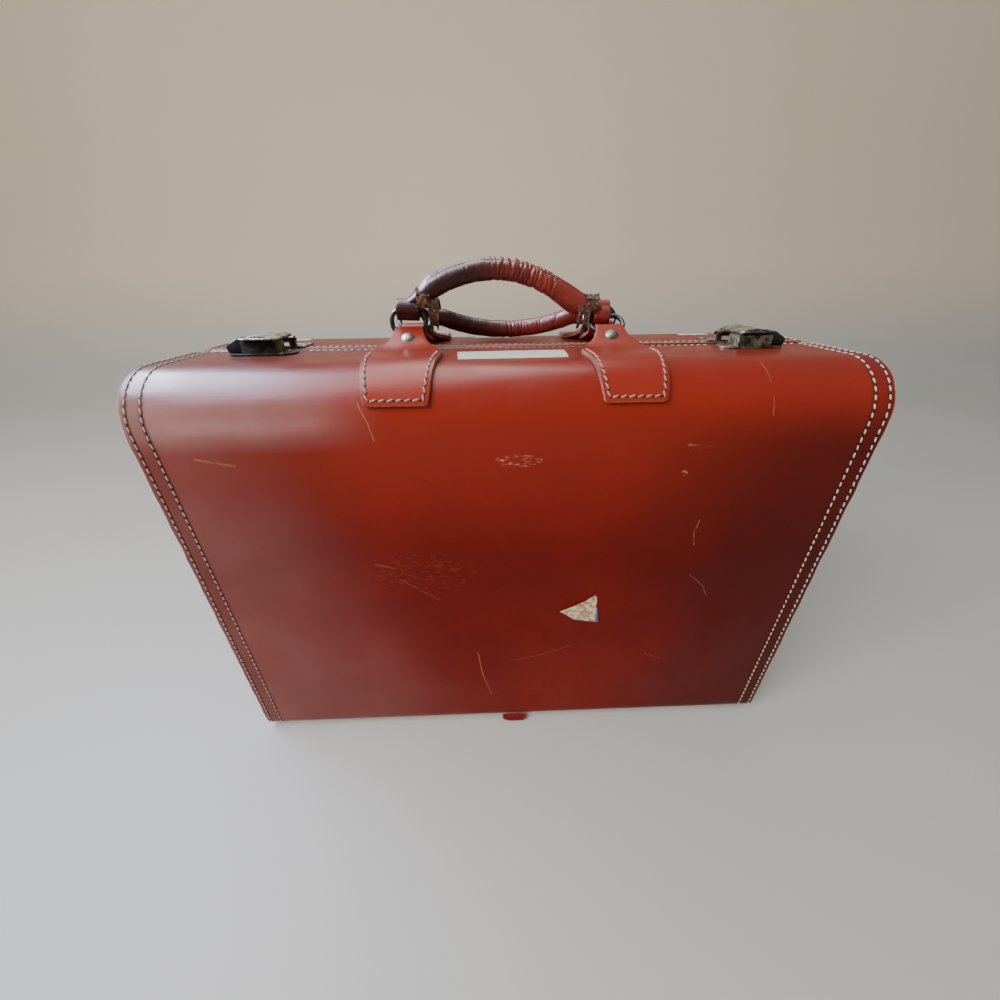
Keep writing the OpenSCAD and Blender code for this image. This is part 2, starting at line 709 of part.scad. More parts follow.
// Hasp: knuckle, arm, crowned plate over the lock's box, lifted lip and notched tongue
module hasp(side) {
    lip = hasp_tip - 3;
    arm = hasp_free - knuckle_gap;
    crown_r = (hasp_w * hasp_w / 4 + hasp_crown * hasp_crown) / (2 * hasp_crown);
    at_lock(side) difference() {
        union() {
            translate([0, hasp_y, hasp_h]) x_rod(-hasp_knuckle_w / 2, hasp_knuckle_w / 2, hasp_knuckle_r);
            along_x(-hasp_knuckle_w / 2, hasp_knuckle_w / 2)
                polygon([[hasp_y, hasp_h], [hasp_y, hasp_h + hasp_knuckle_r], [arm, hasp_top],
                    [arm, hasp_low], [hasp_y - hasp_knuckle_r, hasp_h]]);
            along_x(-hasp_w / 2, hasp_w / 2)
                polygon([[arm, hasp_low], [arm, hasp_top], [-lip, hasp_top], [-hasp_tip, hasp_top + plate_t],
                    [-hasp_tip - hasp_t / 3, hasp_top - hasp_t / 8], [-lip, hasp_low]]);
            along_y(-lip, arm) intersection() {
                translate([0, hasp_top + hasp_crown - crown_r]) circle(crown_r);
                translate([-hasp_w / 2, hasp_low + hasp_t / 2]) square([hasp_w, hasp_t + hasp_crown]);
            }
            translate([-tongue_l / 2, -pocket_y - tongue_d / 2, pocket_floor + 0.6])
                cube([tongue_l, tongue_d, hasp_low + hasp_t / 2 - pocket_floor - 0.6]);
        }
        translate([tongue_l / 2 - notch_l, -pocket_y - bar_w / 2 - slide_gap, bar_low - slide_gap])
            cube([tongue_l, bar_w + 2 * slide_gap, bar_h + 2 * slide_gap]);
        translate([0, hasp_y, hasp_h]) x_rod(-hasp_w, hasp_w, hasp_pin_r + pin_fit);
    }
}

// Hinge leaves let into the base, with knuckles that take turns along the pin
module hinge_leaves(first) {
    for (x = hinge_places()) translate([x - hinge_l / 2, 0, 0]) difference() {
        union() {
            translate([0, -leaf_d, leaf_low]) cube([hinge_l, leaf_d - leaf_near, leaf_t]);
            for (i = [first : 2 : knuckles - 1]) {
                x0 = i * knuckle_l + knuckle_gap / 2;
                l = knuckle_l - knuckle_gap;
                translate([0, 0, hinge_z]) x_rod(x0, x0 + l, barrel_r);
                translate([x0, -leaf_near - over, leaf_low]) cube([l, leaf_near + over, leaf_t]);
            }
        }
        translate([0, 0, hinge_z]) x_rod(-over, hinge_l + over, hinge_pin_r + pin_fit);
        for (s = [-1, 1]) translate([(hinge_l + s * hinge_rivet_gap) / 2, -hinge_rivet_y, leaf_low - over])
            cylinder(h = leaf_t + 2 * over, r = hinge_shank_r + pin_fit);
    }
}
module hinge_rivets() {
    for (x = hinge_places(), s = [-1, 1]) translate([x + s * hinge_rivet_gap / 2, -hinge_rivet_y, 0]) {
        translate([0, 0, leaf_low - hinge_rivet_h]) cylinder(h = hinge_rivet_h, r = hinge_rivet_r);
        translate([0, 0, leaf_low - hinge_rivet_h / 2])
            cylinder(h = shank_top - leaf_low + hinge_rivet_h / 2, r = hinge_shank_r);
    }
}

// Studs under the base
module studs() {
    for (side = [-1, 1]) on_side(side) translate([half_w - stud_inset, -stud_y, 0]) {
        cylinder(h = stud_h, r1 = stud_r - stud_taper, r2 = stud_r);
        translate([0, 0, stud_h / 2]) cylinder(h = shank_top - stud_h / 2, r = stud_shank_r);
    }
}

module front_panel() { color(leather) panel(lock_rivet_places()); }
module front_end_left() { color(leather) end_wall(-1); }
module front_end_right() { color(leather) end_wall(1); }
module front_boards() { color("tan") boards(lock_rivet_places()); }
module front_lining() { color("beige") lining(); }
module front_rim() { color(dark_leather) rim(); }
module front_frame() { color(dark_steel) frame(lock_rivet_places()); }
module front_tab_left() { color(leather) tab(-1); }
module front_tab_right() { color(leather) tab(1); }
module front_tab_rivets() { color(old_brass) tab_rivets(); }
module front_ring_left() { color(dark_steel) front_loop() translate([-tab_x, 0, 0]) ring(); }
module front_ring_right() {
    color(dark_steel) front_loop() rotate([-front_right_lean, 0, 0]) translate([tab_x, 0, 0]) ring();
}
module front_grip() { color(dark_leather) front_bar() grip(front_grip_slide); }
module front_grip_core() { color("tan") front_bar() grip_core(front_grip_slide); }
module front_handle_end_left() { color(dark_leather) front_bar() handle_end(-1, front_grip_slide); }
module front_handle_end_right() { color(dark_leather) front_bar() handle_end(1, front_grip_slide); }
module rear_panel() { color(leather) rear() panel(hasp_rivet_places()); }
module rear_end_left() { color(leather) rear() end_wall(-1); }
module rear_end_right() { color(leather) rear() end_wall(1); }
module rear_boards() { color("tan") rear() boards(hasp_rivet_places()); }
module rear_lining() { color("beige") rear() lining(); }
module rear_rim() { color(dark_leather) rear() rim(); }
module rear_frame() { color(dark_steel) rear() frame(hasp_rivet_places()); }
module rear_tab_left() { color(leather) rear() tab(-1); }
module rear_tab_right() { color(leather) rear() tab(1); }
module rear_tab_rivets() { color(old_brass) rear() tab_rivets(); }
module rear_ring_left() { color(dark_steel) rear_loop() translate([-tab_x, 0, 0]) ring(); }
module rear_ring_right() { color(dark_steel) rear_loop() translate([tab_x, 0, 0]) ring(); }
module rear_grip() { color(dark_leather) rear_bar() grip(); }
module rear_grip_core() { color("tan") rear_bar() grip_core(); }
module rear_handle_end_left() { color(dark_leather) rear_bar() handle_end(-1); }
module rear_handle_end_right() { color(dark_leather) rear_bar() handle_end(1); }
module left_lock() { color(old_brass) lock(-1); }
module right_lock() { color(old_brass) lock(1); }
module left_lock_spring() { color(dark_steel) lock_spring(-1); }
module right_lock_spring() { color(dark_steel) lock_spring(1); }
module left_thumb_slide() { color([0.1, 0.1, 0.1]) thumb_slide(-1); }
module right_thumb_slide() { color([0.1, 0.1, 0.1]) thumb_slide(1); }
module lock_rivets() { color(old_brass) plate_rivets(lock_rivet_places()); }
module left_hasp() { color(old_brass) hasp(-1); }
module right_hasp() { color(old_brass) hasp(1); }
module left_hasp_plate() { color(old_brass) hasp_plate(-1); }
module right_hasp_plate() { color(old_brass) hasp_plate(1); }
module hasp_rivets() { color(old_brass) rear() plate_rivets(hasp_rivet_places()); }
module front_hinge_leaves() { color(dark_steel) hinge_leaves(0); }
module rear_hinge_leaves() { color(dark_steel) rear() hinge_leaves(1); }
module hinge_pins() {
    color(dark_steel) for (x = hinge_places()) translate([x, 0, hinge_z])
        x_rod(-hinge_l / 2, hinge_l / 2, hinge_pin_r);
}
module front_hinge_rivets() { color(dark_steel) hinge_rivets(); }
module rear_hinge_rivets() { color(dark_steel) rear() hinge_rivets(); }
module front_studs() { color(old_brass) studs(); }
module rear_studs() { color(old_brass) rear() studs(); }

front_panel();
front_end_left();
front_end_right();
front_boards();
front_lining();
front_rim();
front_frame();
front_tab_left();
front_tab_right();
front_tab_rivets();
front_ring_left();
front_ring_right();
front_grip();
front_grip_core();
front_handle_end_left();
front_handle_end_right();
rear_panel();
rear_end_left();
rear_end_right();
rear_boards();
rear_lining();
rear_rim();
rear_frame();
rear_tab_left();
rear_tab_right();
rear_tab_rivets();
rear_ring_left();
rear_ring_right();
rear_grip();
rear_grip_core();
rear_handle_end_left();
rear_handle_end_right();
left_lock();
right_lock();
left_lock_spring();
right_lock_spring();
left_thumb_slide();
right_thumb_slide();
lock_rivets();
left_hasp();
right_hasp();
left_hasp_plate();
right_hasp_plate();
hasp_pins();
hasp_rivets();
front_hinge_leaves();
rear_hinge_leaves();
hinge_pins();
front_hinge_rivets();
rear_hinge_rivets();
front_studs();
rear_studs();
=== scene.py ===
# %% [markdown]
# # Dressing a travel-worn leather suitcase
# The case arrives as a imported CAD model: hard solids sorted into bodies that move. This lesson gives it
# its looks. Soft pieces, such as leather, thread and cloth, are modelled again in Blender and stand in
# for their solids. Hard pieces keep their CAD shape and only get a finish.

# %% Load the frame
import math
import random

import bmesh
import bpy
from mathutils import Matrix, Vector, noise


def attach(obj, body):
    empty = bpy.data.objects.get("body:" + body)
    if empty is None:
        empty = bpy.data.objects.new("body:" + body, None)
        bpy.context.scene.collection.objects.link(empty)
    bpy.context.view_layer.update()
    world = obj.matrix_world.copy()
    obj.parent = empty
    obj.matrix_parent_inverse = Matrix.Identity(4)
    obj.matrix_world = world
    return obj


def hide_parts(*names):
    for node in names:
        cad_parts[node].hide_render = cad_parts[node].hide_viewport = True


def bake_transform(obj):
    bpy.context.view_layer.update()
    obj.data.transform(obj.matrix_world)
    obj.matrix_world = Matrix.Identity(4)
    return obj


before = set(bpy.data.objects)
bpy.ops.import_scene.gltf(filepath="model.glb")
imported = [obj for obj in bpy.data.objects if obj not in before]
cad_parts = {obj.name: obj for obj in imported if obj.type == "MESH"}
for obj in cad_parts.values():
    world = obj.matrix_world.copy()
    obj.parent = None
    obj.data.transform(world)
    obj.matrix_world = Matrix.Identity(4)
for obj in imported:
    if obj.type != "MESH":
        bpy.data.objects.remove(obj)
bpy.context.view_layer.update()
MM = 0.001
NOISE_SEED = 1
# Without a seed, vector noise takes one from the clock and differs from run to run
noise.seed_set(NOISE_SEED)

# %% [markdown]
# ## The camera
# The photographer held a very wide lens close to the case and a little above it, which is why the box
# seems to narrow towards the floor. A camera could be aimed with a Track To constraint, but the tilt of
# a hand-held shot is easier to keep as three angles, so the matrix is put together from those.

# %% Stand the camera
EYE = Vector((-18.79, -349.35, 408.59)) * MM
PITCH = 0.51466
YAW = -0.02885
ROLL = -0.01046
LENS = 14.24

level = Matrix((
    (1, 0, 0),
    (0, -math.sin(PITCH), -math.cos(PITCH)),
    (0, math.cos(PITCH), -math.sin(PITCH)),
))
held = Matrix.Rotation(ROLL, 3, "Z") @ level @ Matrix.Rotation(YAW, 3, "Z").transposed()
right, down, ahead = held
bpy.ops.object.camera_add()
camera = bpy.context.object
camera.name = "photographer"
camera.data.lens = LENS
facing = Matrix((right, -down, -ahead)).transposed()
camera.matrix_world = Matrix.Translation(EYE) @ facing.to_4x4()
bpy.context.scene.camera = camera
print("Camera at", [round(c, 3) for c in EYE], "lens", LENS, "mm")

# %% [markdown]
# ## Finishes as node trees
# Every material here is procedural: noise and ramps in place of pictures. Writing each tree by hand in
# the shader editor is fine for one material, but a dozen of them share the same few moves, so a small
# class adds one node per call and hands back the socket to plug in next. Object coordinates are metres
# on the real thing, so each pattern is given its true size in millimetres.

# %% Make the finish helper
def tint(red, green, blue):
    """A colour given on the 0 to 255 scale, as the linear values that shaders use."""
    linear = []
    for level_8bit in (red, green, blue):
        value = level_8bit / 255
        linear.append(value / 12.92 if value <= 0.04045 else ((value + 0.055) / 1.055) ** 2.4)
    return (*linear, 1.0)


class Finish:
    """A material being mixed: each method adds one node and returns the socket it gives."""

    def __init__(self, name):
        self.material = bpy.data.materials.new(name)
        self.material.use_nodes = True
        self.tree = self.material.node_tree
        self.shader = self.tree.nodes["Principled BSDF"]
        self.place = self.node("ShaderNodeTexCoord").outputs["Object"]

    def node(self, kind, inputs=None, **settings):
        """Add a node and feed its inputs, which are given by name or by number."""
        made = self.tree.nodes.new(kind)
        for key, value in settings.items():
            setattr(made, key, value)
        for key, value in (inputs or {}).items():
            self.feed(made.inputs[key], value)
        return made

    def feed(self, socket, value):
        if isinstance(value, bpy.types.NodeSocket):
            self.tree.links.new(value, socket)
        else:
            socket.default_value = value

    def noise(self, size, detail=3.0, stretch=(1, 1, 1), rough=0.5):
        """Cloudy noise whose blotches are about size mm across."""
        spot = self.node("ShaderNodeMapping", {"Vector": self.place, "Scale": stretch}).outputs["Vector"]
        look = {"Vector": spot, "Scale": 1 / (size * MM), "Detail": detail, "Roughness": rough}
        return self.node("ShaderNodeTexNoise", look).outputs["Fac"]

    def cells(self, size):
        """Distance inside a pattern of cells about size mm across."""
        look = {"Vector": self.place, "Scale": 1 / (size * MM)}
        return self.node("ShaderNodeTexVoronoi", look).outputs["Distance"]

    def ramp(self, value, low, high, bottom=0.0, top=1.0):
        """Rises smoothly from bottom to top while value goes from low to high."""
        look = {"Value": value, "From Min": low, "From Max": high, "To Min": bottom, "To Max": top}
        return self.node("ShaderNodeMapRange", look, interpolation_type="SMOOTHSTEP").outputs["Result"]

    def mix(self, factor, first, second):
        """One colour over another."""
        inputs = {"Factor": factor, 6: first, 7: second}
        return self.node("ShaderNodeMix", inputs, data_type="RGBA").outputs[2]

    def stain(self, pattern, low, high, first, second, most=1.0):
        """The second colour over the first where a pattern goes from low to high, at most by a share."""
        return self.mix(self.ramp(pattern, low, high, 0.0, most), first, second)

    def sum(self, operation, first, second=0.0):
        """One step of arithmetic."""
        return self.node("ShaderNodeMath", {0: first, 1: second}, operation=operation).outputs["Value"]

    def times(self, first, second):
        return self.sum("MULTIPLY", first, second)

    def axis(self, letter):
        """One coordinate of the point, in metres."""
        return self.node("ShaderNodeSeparateXYZ", {"Vector": self.place}).outputs[letter]

    def bump(self, height, depth, strength=1.0, under=None):
        """Surface relief of about depth mm, on top of an earlier one."""
        look = {"Height": height, "Distance": depth * MM, "Strength": strength}
        if under is not None:
            look["Normal"] = under
        return self.node("ShaderNodeBump", look).outputs["Normal"]

    def shine(self, **sockets):
        """Set the shader's own sockets, named with underscores for spaces."""
        for key, value in sockets.items():
            self.feed(self.shader.inputs[key.replace("_", " ")], value)
        return self.material


print("Finish helper ready")

# %% [markdown]
# ## Floor and light
# A photographer's sweep is a sheet of paper that runs along the floor and curves up behind, so no edge
# shows. It is one plane whose far edge is pulled up in small steps. The light is soft. A window from the
# upper left and a weak fill on the right light the dull colour of things, and two strips overhead are seen
# only as reflections, so the streak along the roll can be set without changing how bright the hide is.

# %% Lay the sweep
def take(*pieces):
    """Select these pieces alone and make the first one active."""
    bpy.ops.object.select_all(action="DESELECT")
    for piece in pieces:
        piece.select_set(True)
    bpy.context.view_layer.objects.active = pieces[0]


def begin(name, size=(1, 1, 1)):
    """Name the primitive just added, put its size in mm and its place into its mesh, and open it to edit."""
    piece = bpy.context.object
    piece.name = name
    piece.data.name = name
    if size != (1, 1, 1):
        piece.scale = Vector(size) * MM
    bpy.ops.object.transform_apply(location=True, rotation=True, scale=True)
    bpy.ops.object.mode_set(mode="EDIT")
    bpy.ops.mesh.select_mode(type="VERT")
    return piece


def pick(kind, test):
    """In edit mode, select the vertices, edges or faces whose middle, in mm, passes the test."""
    bpy.ops.mesh.select_mode(type=kind)
    bpy.ops.mesh.select_all(action="DESELECT")
    mesh = bpy.context.edit_object.data
    shape = bmesh.from_edit_mesh(mesh)
    if kind == "VERT":
        found = [v for v in shape.verts if test(v.co / MM)]
    elif kind == "EDGE":
        found = [e for e in shape.edges if test((e.verts[0].co + e.verts[1].co) / 2 / MM)]
    else:
        found = [f for f in shape.faces if test(f.calc_center_median() / MM)]
    for item in found:
        item.select_set(True)
    shape.select_flush_mode()
    bmesh.update_edit_mesh(mesh)


def pick_all():
    bpy.ops.mesh.select_all(action="SELECT")


def close():
    """Leave edit mode."""
    bpy.ops.object.mode_set(mode="OBJECT")


def pull(step):
    """Extrude the selection by a step in mm."""
    bpy.ops.mesh.extrude_region_move(TRANSFORM_OT_translate={"value": Vector(step) * MM})


SWEEP_HALF = 4000
SWEEP_BACK = 1100
SWEEP_R = 1000
SWEEP_STEPS = 16
SWEEP_RISE = 1200

bpy.ops.mesh.primitive_plane_add(size=1, location=(0, (SWEEP_BACK - SWEEP_HALF) / 2 * MM, 0))
sweep = begin("sweep", (2 * SWEEP_HALF, SWEEP_BACK + SWEEP_HALF, 1))
pick("EDGE", lambda at: at.y > SWEEP_BACK - 1)
for k in range(SWEEP_STEPS):
    a0 = math.pi / 2 * k / SWEEP_STEPS
    a1 = math.pi / 2 * (k + 1) / SWEEP_STEPS
    pull((0, SWEEP_R * (math.sin(a1) - math.sin(a0)), SWEEP_R * (math.cos(a0) - math.cos(a1))))
pull((0, 0, SWEEP_RISE))
close()
bpy.ops.object.shade_smooth()

paper = Finish("sweep_paper")
cloud = paper.noise(600, detail=3)
paper_tone = paper.stain(cloud, 0.3, 0.7, tint(203, 203, 198), tint(208, 208, 203))
warm = paper.ramp(paper.axis("Z"), 0.0, 0.5)
paper_tone = paper.mix(warm, paper_tone, tint(248, 228, 198))
sweep.data.materials.append(paper.shine(Base_Color=paper_tone, Roughness=0.62))
print("Sweep has", len(sweep.data.polygons), "faces")

# %% Hang the lights
def hang_light(name, place, target, size, power, colour, mirrored):
    """A softbox in metres and watts that faces its target: mirrored in gloss, or lighting dull colour."""
    bpy.ops.object.light_add(type="AREA", location=place)
    lamp = bpy.context.object
    lamp.name = name
    lamp.data.shape = "RECTANGLE"
    lamp.data.size = size[0]
    lamp.data.size_y = size[1]
    lamp.data.energy = power
    lamp.data.color = colour
    lamp.rotation_euler = (Vector(target) - Vector(place)).to_track_quat("-Z", "Y").to_euler()
    lamp.visible_glossy = mirrored
    lamp.visible_diffuse = not mirrored
    return lamp


WARM = (1.0, 0.96, 0.9)
COOL = (0.62, 0.72, 1.0)
NEUTRAL = (1.0, 0.95, 0.93)
lamps = [
    hang_light("window", (-1.4, -1.2, 1.7), (0, 0, 0.2), (1.6, 1.3), 56, WARM, mirrored=False),
    hang_light("fill", (1.5, -0.9, 0.8), (0, 0, 0.2), (1.0, 1.0), 2.5, WARM, mirrored=False),
    hang_light("sky_strip", (-0.9, 0.05, 1.15), (-0.15, -0.05, 0.35), (0.8, 0.5), 105, COOL, mirrored=True),
    hang_light("sky_broad", (-0.35, 0.15, 1.6), (-0.1, -0.05, 0.35), (1.7, 0.8), 56, NEUTRAL, mirrored=True),
]
air = bpy.data.worlds.new("studio_air")
air.use_nodes = True
glow = air.node_tree.nodes["Background"]
glow.inputs["Color"].default_value = (0.92, 0.94, 1.0, 1.0)
glow.inputs["Strength"].default_value = 0.35
bpy.context.scene.world = air
print("Lights:", [lamp.name for lamp in lamps])

# %% [markdown]
# ## The leather finish
# The hide is waxed chestnut red with a hard shine. Its colour is never even: it is mottled, and over that
# light and shade are painted in: warmer and lighter towards the roll, a painted highlight band on the left
# of the roll, a painted reflection as haze on the left, painted shade on the right and the left, and darker
# borders. On top come dry scuffs, thin scratches and a furrow along each row of stitches, darkened as painted
# shade. A scratch is drawn as the distance to a line from point to point, on the wall seen from the front,
# with some noise to break it up.

# %% Draw wear as masks
def scratch(finish, path, width, strength):
    """A thin line through the (x, z) points of path, in mm, as a mask."""
    def step(operation, first, second):
        return finish.node("ShaderNodeVectorMath", {0: first, 1: second}, operation=operation).outputs

    flat = step("MULTIPLY", finish.place, (1, 0, 1))["Vector"]
    nearest = None
    for (x0, z0), (x1, z1) in zip(path, path[1:]):
        run = Vector((x1 - x0, 0, z1 - z0)) * MM
        away = step("SUBTRACT", flat, Vector((x0, 0, z0)) * MM)["Vector"]
        along = step("DOT_PRODUCT", away, run / run.length_squared)["Value"]
        share = finish.node("ShaderNodeClamp", {"Value": along}).outputs["Result"]
        foot = finish.node("ShaderNodeVectorMath", {0: run, "Scale": share}, operation="SCALE")
        gap = step("DISTANCE", away, foot.outputs["Vector"])["Value"]
        nearest = gap if nearest is None else finish.sum("MINIMUM", nearest, gap)
    frayed = finish.times(finish.ramp(finish.noise(5), 0.3, 0.6, 0.25, 1.0), strength)
    return finish.times(finish.ramp(nearest, 0, width * MM, 1.0, 0.0), frayed)


def scuff(finish, x, z, wide, high, strength):
    """A dry patch about (x, z) in mm, broken up by noise, as a mask."""
    off_x = finish.sum("DIVIDE", finish.sum("SUBTRACT", finish.axis("X"), x * MM), wide * MM)
    off_z = finish.sum("DIVIDE", finish.sum("SUBTRACT", finish.axis("Z"), z * MM), high * MM)
    reach = finish.sum("ADD", finish.times(off_x, off_x), finish.times(off_z, off_z))
    flakes = finish.noise(3.0, detail=6, rough=0.7, stretch=(0.6, 1, 1.6))
    worn = finish.ramp(flakes, 0.5, 0.66, 0.0, strength)
    return finish.times(finish.ramp(reach, 0.2, 1.0, 1.0, 0.0), worn)


def heaviest(finish, masks):
    """The strongest of several masks at each point."""
    top = masks[0]
    for mask in masks[1:]:
        top = finish.sum("MAXIMUM", top, mask)
    return top


print("Wear masks ready")

# %% Mix the leather
OXBLOOD = tint(106, 14, 6)
CHESTNUT = tint(124, 21, 10)
BURNT_AND_SHADE = tint(60, 4, 2)
REFLECTED_HAZE = tint(136, 82, 78)
LIT_TONE = tint(170, 56, 38)
ROLL_HIGHLIGHT = tint(190, 150, 148)
DRY = tint(210, 150, 120)


def paint_light_and_borders(hide, tone):
    """Painted light and shade on a panel: lighter towards its roll, shaded on its right and left, a reflected
    haze and a highlight band on its left, and darker borders.
    """
    # Painted light: the hide turns warmer and lighter towards the roll, as if lit from above.
    tone = hide.mix(hide.ramp(hide.axis("Z"), 0.2, 0.35, 0.0, 0.55), tone, LIT_TONE)
    below_roll = hide.ramp(hide.axis("Z"), 0.345, 0.3)
    # Painted shade: the face darkens towards the right, below the roll.
    right_shade = hide.ramp(hide.axis("X"), 0.04, 0.24, 0.0, 0.72)
    tone = hide.mix(hide.times(right_shade, below_roll), tone, BURNT_AND_SHADE)
    # Painted shade: the face darkens towards the left, above the foot. The same dark tone also serves as real
    # pores, dark trim and rims.
    left_shade = hide.ramp(hide.axis("X"), -0.05, -0.2, 0.0, 0.34)
    above_foot = hide.ramp(hide.axis("Z"), 0.1, 0.22)
    tone = hide.mix(hide.times(left_shade, above_foot), tone, BURNT_AND_SHADE)
    # Painted reflection: a pale haze over the left of the panel, stronger low down, broken up by noise.
    slant = hide.sum("ADD", hide.axis("X"), hide.times(hide.axis("Z"), 0.33))
    veil = hide.ramp(hide.noise(60, detail=5), 0.3, 0.7, 0.65, 1.0)
    tone = hide.mix(hide.times(hide.ramp(slant, -0.02, -0.17, 0.0, 0.8), veil), tone, REFLECTED_HAZE)
    # Painted highlight: a pale band along the left of the roll, broken up by the same noise.
    above_wall = hide.ramp(hide.axis("Z"), 0.304, 0.325)
    on_roll = hide.times(above_wall, hide.ramp(hide.axis("Z"), 0.352, 0.335))
    highlight_band = hide.times(hide.ramp(hide.axis("X"), -0.08, -0.17, 0.0, 0.5), on_roll)
    tone = hide.mix(hide.times(highlight_band, veil), tone, ROLL_HIGHLIGHT)
    border = hide.ramp(hide.sum("ABSOLUTE", hide.axis("X")), 0.2365, 0.2395, 0.0, 0.22)
    return hide.mix(border, tone, BURNT_AND_SHADE)


def leather(name, scratches=(), scuffs=(), creases=(), rows=(), shade=True, dark=0.0, pale=0.0):
    """Waxed hide: scratches, scuffs and creases lie on the wall, rows are |x| of the stitch furrows in mm."""
    hide = Finish(name)
    mottle = hide.noise(150, detail=4, rough=0.55)
    tone = hide.stain(mottle, 0.36, 0.66, OXBLOOD, CHESTNUT)
    specks = hide.noise(5, detail=4, rough=0.6)
    tone = hide.stain(specks, 0.5, 0.74, tone, BURNT_AND_SHADE, 0.18)
    if shade:
        tone = paint_light_and_borders(hide, tone)
    if dark:
        tone = hide.mix(dark, tone, BURNT_AND_SHADE)
    # pale is a share of painted light: the hide is made lighter, as if lit.
    if pale:
        tone = hide.mix(pale, tone, LIT_TONE)
    relief = hide.bump(hide.cells(1.1), 0.12, 0.35)
    relief = hide.bump(hide.noise(0.7, detail=2), 0.05, 0.4, relief)
    relief = hide.bump(hide.noise(26, detail=2), 0.8, 0.3, relief)
    if creases:
        pressed = heaviest(hide, [scratch(hide, path, 5.0, strength) for path, strength in creases])
        relief = hide.bump(pressed, 1.0, -0.6, relief)
    gloss = hide.ramp(hide.noise(34, detail=5, rough=0.65), 0.35, 0.7, 0.32, 0.46)
    masks = [scratch(hide, *line) for line in scratches] + [scuff(hide, *patch) for patch in scuffs]
    if masks:
        marks = heaviest(hide, masks)
        tone = hide.mix(marks, tone, DRY)
        gloss = hide.sum("ADD", gloss, hide.times(marks, 0.3))
        relief = hide.bump(marks, 0.2, -0.5, relief)
    if rows:
        across = hide.sum("ABSOLUTE", hide.axis("X"))
        for row in rows:
            off = hide.sum("ABSOLUTE", hide.sum("SUBTRACT", across, row * MM))
            furrow = hide.ramp(off, 0.0005, 0.0024, 1.0, 0.0)
            # Painted shade: the hide is darkened in the furrow, and the bump below presses it in.
            tone = hide.mix(hide.times(furrow, 0.6), tone, BURNT_AND_SHADE)
            relief = hide.bump(furrow, 0.7, -0.8, relief)
    return hide.shine(
        Base_Color=tone, Roughness=gloss, Normal=relief,
        Coat_Weight=0.07, Coat_Roughness=0.22, Specular_IOR_Level=0.12,
    )


print("Leather recipe ready")

# %% Lay on the marks of use
FRONT_SCRATCHES = (
    (((-33.5, 104.6), (-30, 74), (-21.7, 41.7)), 0.7, 0.55),
    (((-3.6, 91.9), (24, 98), (54, 109.7)), 0.45, 0.35),
    (((169, 356), (170, 346)), 0.6, 0.4),
    (((171, 338), (172, 326)), 0.5, 0.35),
    (((141.8, 244.4), (140, 232), (142.7, 220.8)), 0.6, 0.5),
    (((146.6, 189.9), (160, 178), (165.9, 166.9)), 0.5, 0.4),
    (((-103, 338), (-97, 325), (-95, 314)), 0.8, 0.4),
    (((-216.2, 303.1), (-191.4, 298)), 1.4, 0.3),
    (((-93.8, 193.8), (-63.2, 170.6)), 0.8, 0.16),
    (((-111.4, 209.9), (-96, 205)), 0.9, 0.25),
    (((124, 96), (140, 88)), 0.6, 0.35),
)
FRONT_SCUFFS = (
    (1.5, 297, 19, 5.5, 1.0),
    (128, 306, 11, 3.5, 0.8),
    (120.4, 285, 3, 3, 1.0),
    (-75, 200, 55, 26, 0.07),
)
FRONT_CREASES = (
    (((-232, 326), (-170, 322), (-108, 327)), 0.8),
    (((-222, 310), (-160, 304), (-100, 309)), 0.7),
    (((-205, 290), (-150, 283)), 0.5),
)
STITCH_ROWS = (240, 250)
front_hide = leather("front_hide", FRONT_SCRATCHES, FRONT_SCUFFS, FRONT_CREASES, STITCH_ROWS)
rear_hide = leather(
    "rear_hide",
    ((((-90, 240), (-40, 210), (10, 205)), 0.6, 0.5), (((120, 120), (150, 90)), 0.7, 0.5)),
    ((60, 250, 30, 9, 0.8), (-130, 90, 40, 20, 0.3)),
    rows=STITCH_ROWS,
)
trim_hide = leather("trim_hide", shade=False, dark=0.12)
rim_hide = leather("rim_hide", shade=False, dark=0.35)
# The tabs get a painted highlight: lighter, as if lit on the roll.
tab_hide = leather("tab_hide", shade=False, pale=0.72)
print("Leather finishes:", front_hide.name, rear_hide.name, trim_hide.name, rim_hide.name, tab_hide.name)

# %% Mix the cut edge
def cut_edge(name, pale, deep):
    """The raw, furry side of thick hide."""
    edge = Finish(name)
    fibre = edge.noise(1.6, detail=5, rough=0.7)
    patch = edge.noise(22, detail=3)
    tone = edge.stain(fibre, 0.35, 0.65, deep, pale)
    tone = edge.stain(patch, 0.48, 0.66, tone, tint(88, 34, 24), 0.6)
    relief = edge.bump(fibre, 0.5, 0.7)
    return edge.shine(Base_Color=tone, Roughness=0.85, Normal=relief)


raw_edge = cut_edge("raw_edge", tint(210, 172, 142), tint(150, 96, 72))
tab_edge = cut_edge("tab_edge", tint(200, 132, 92), tint(128, 62, 42))
print("Edges:", raw_edge.name, tab_edge.name)

# %% [markdown]
# ## The big leather panels
# Each half of the case is wrapped in one wide strap of hide that runs from the seam across the top, over
# the soft roll, down the big face and under the base. Such a sheet could be a bent grid, but a strip that
# is extruded row by row along its side view keeps the true radius of both rolls. A Displace modifier then
# gives it the slow waves of old hide, except near its sewn edges, and Solidify gives it 3 mm of thickness
# with a pale cut edge. On the front, two long folds are pressed into the left of the roll.

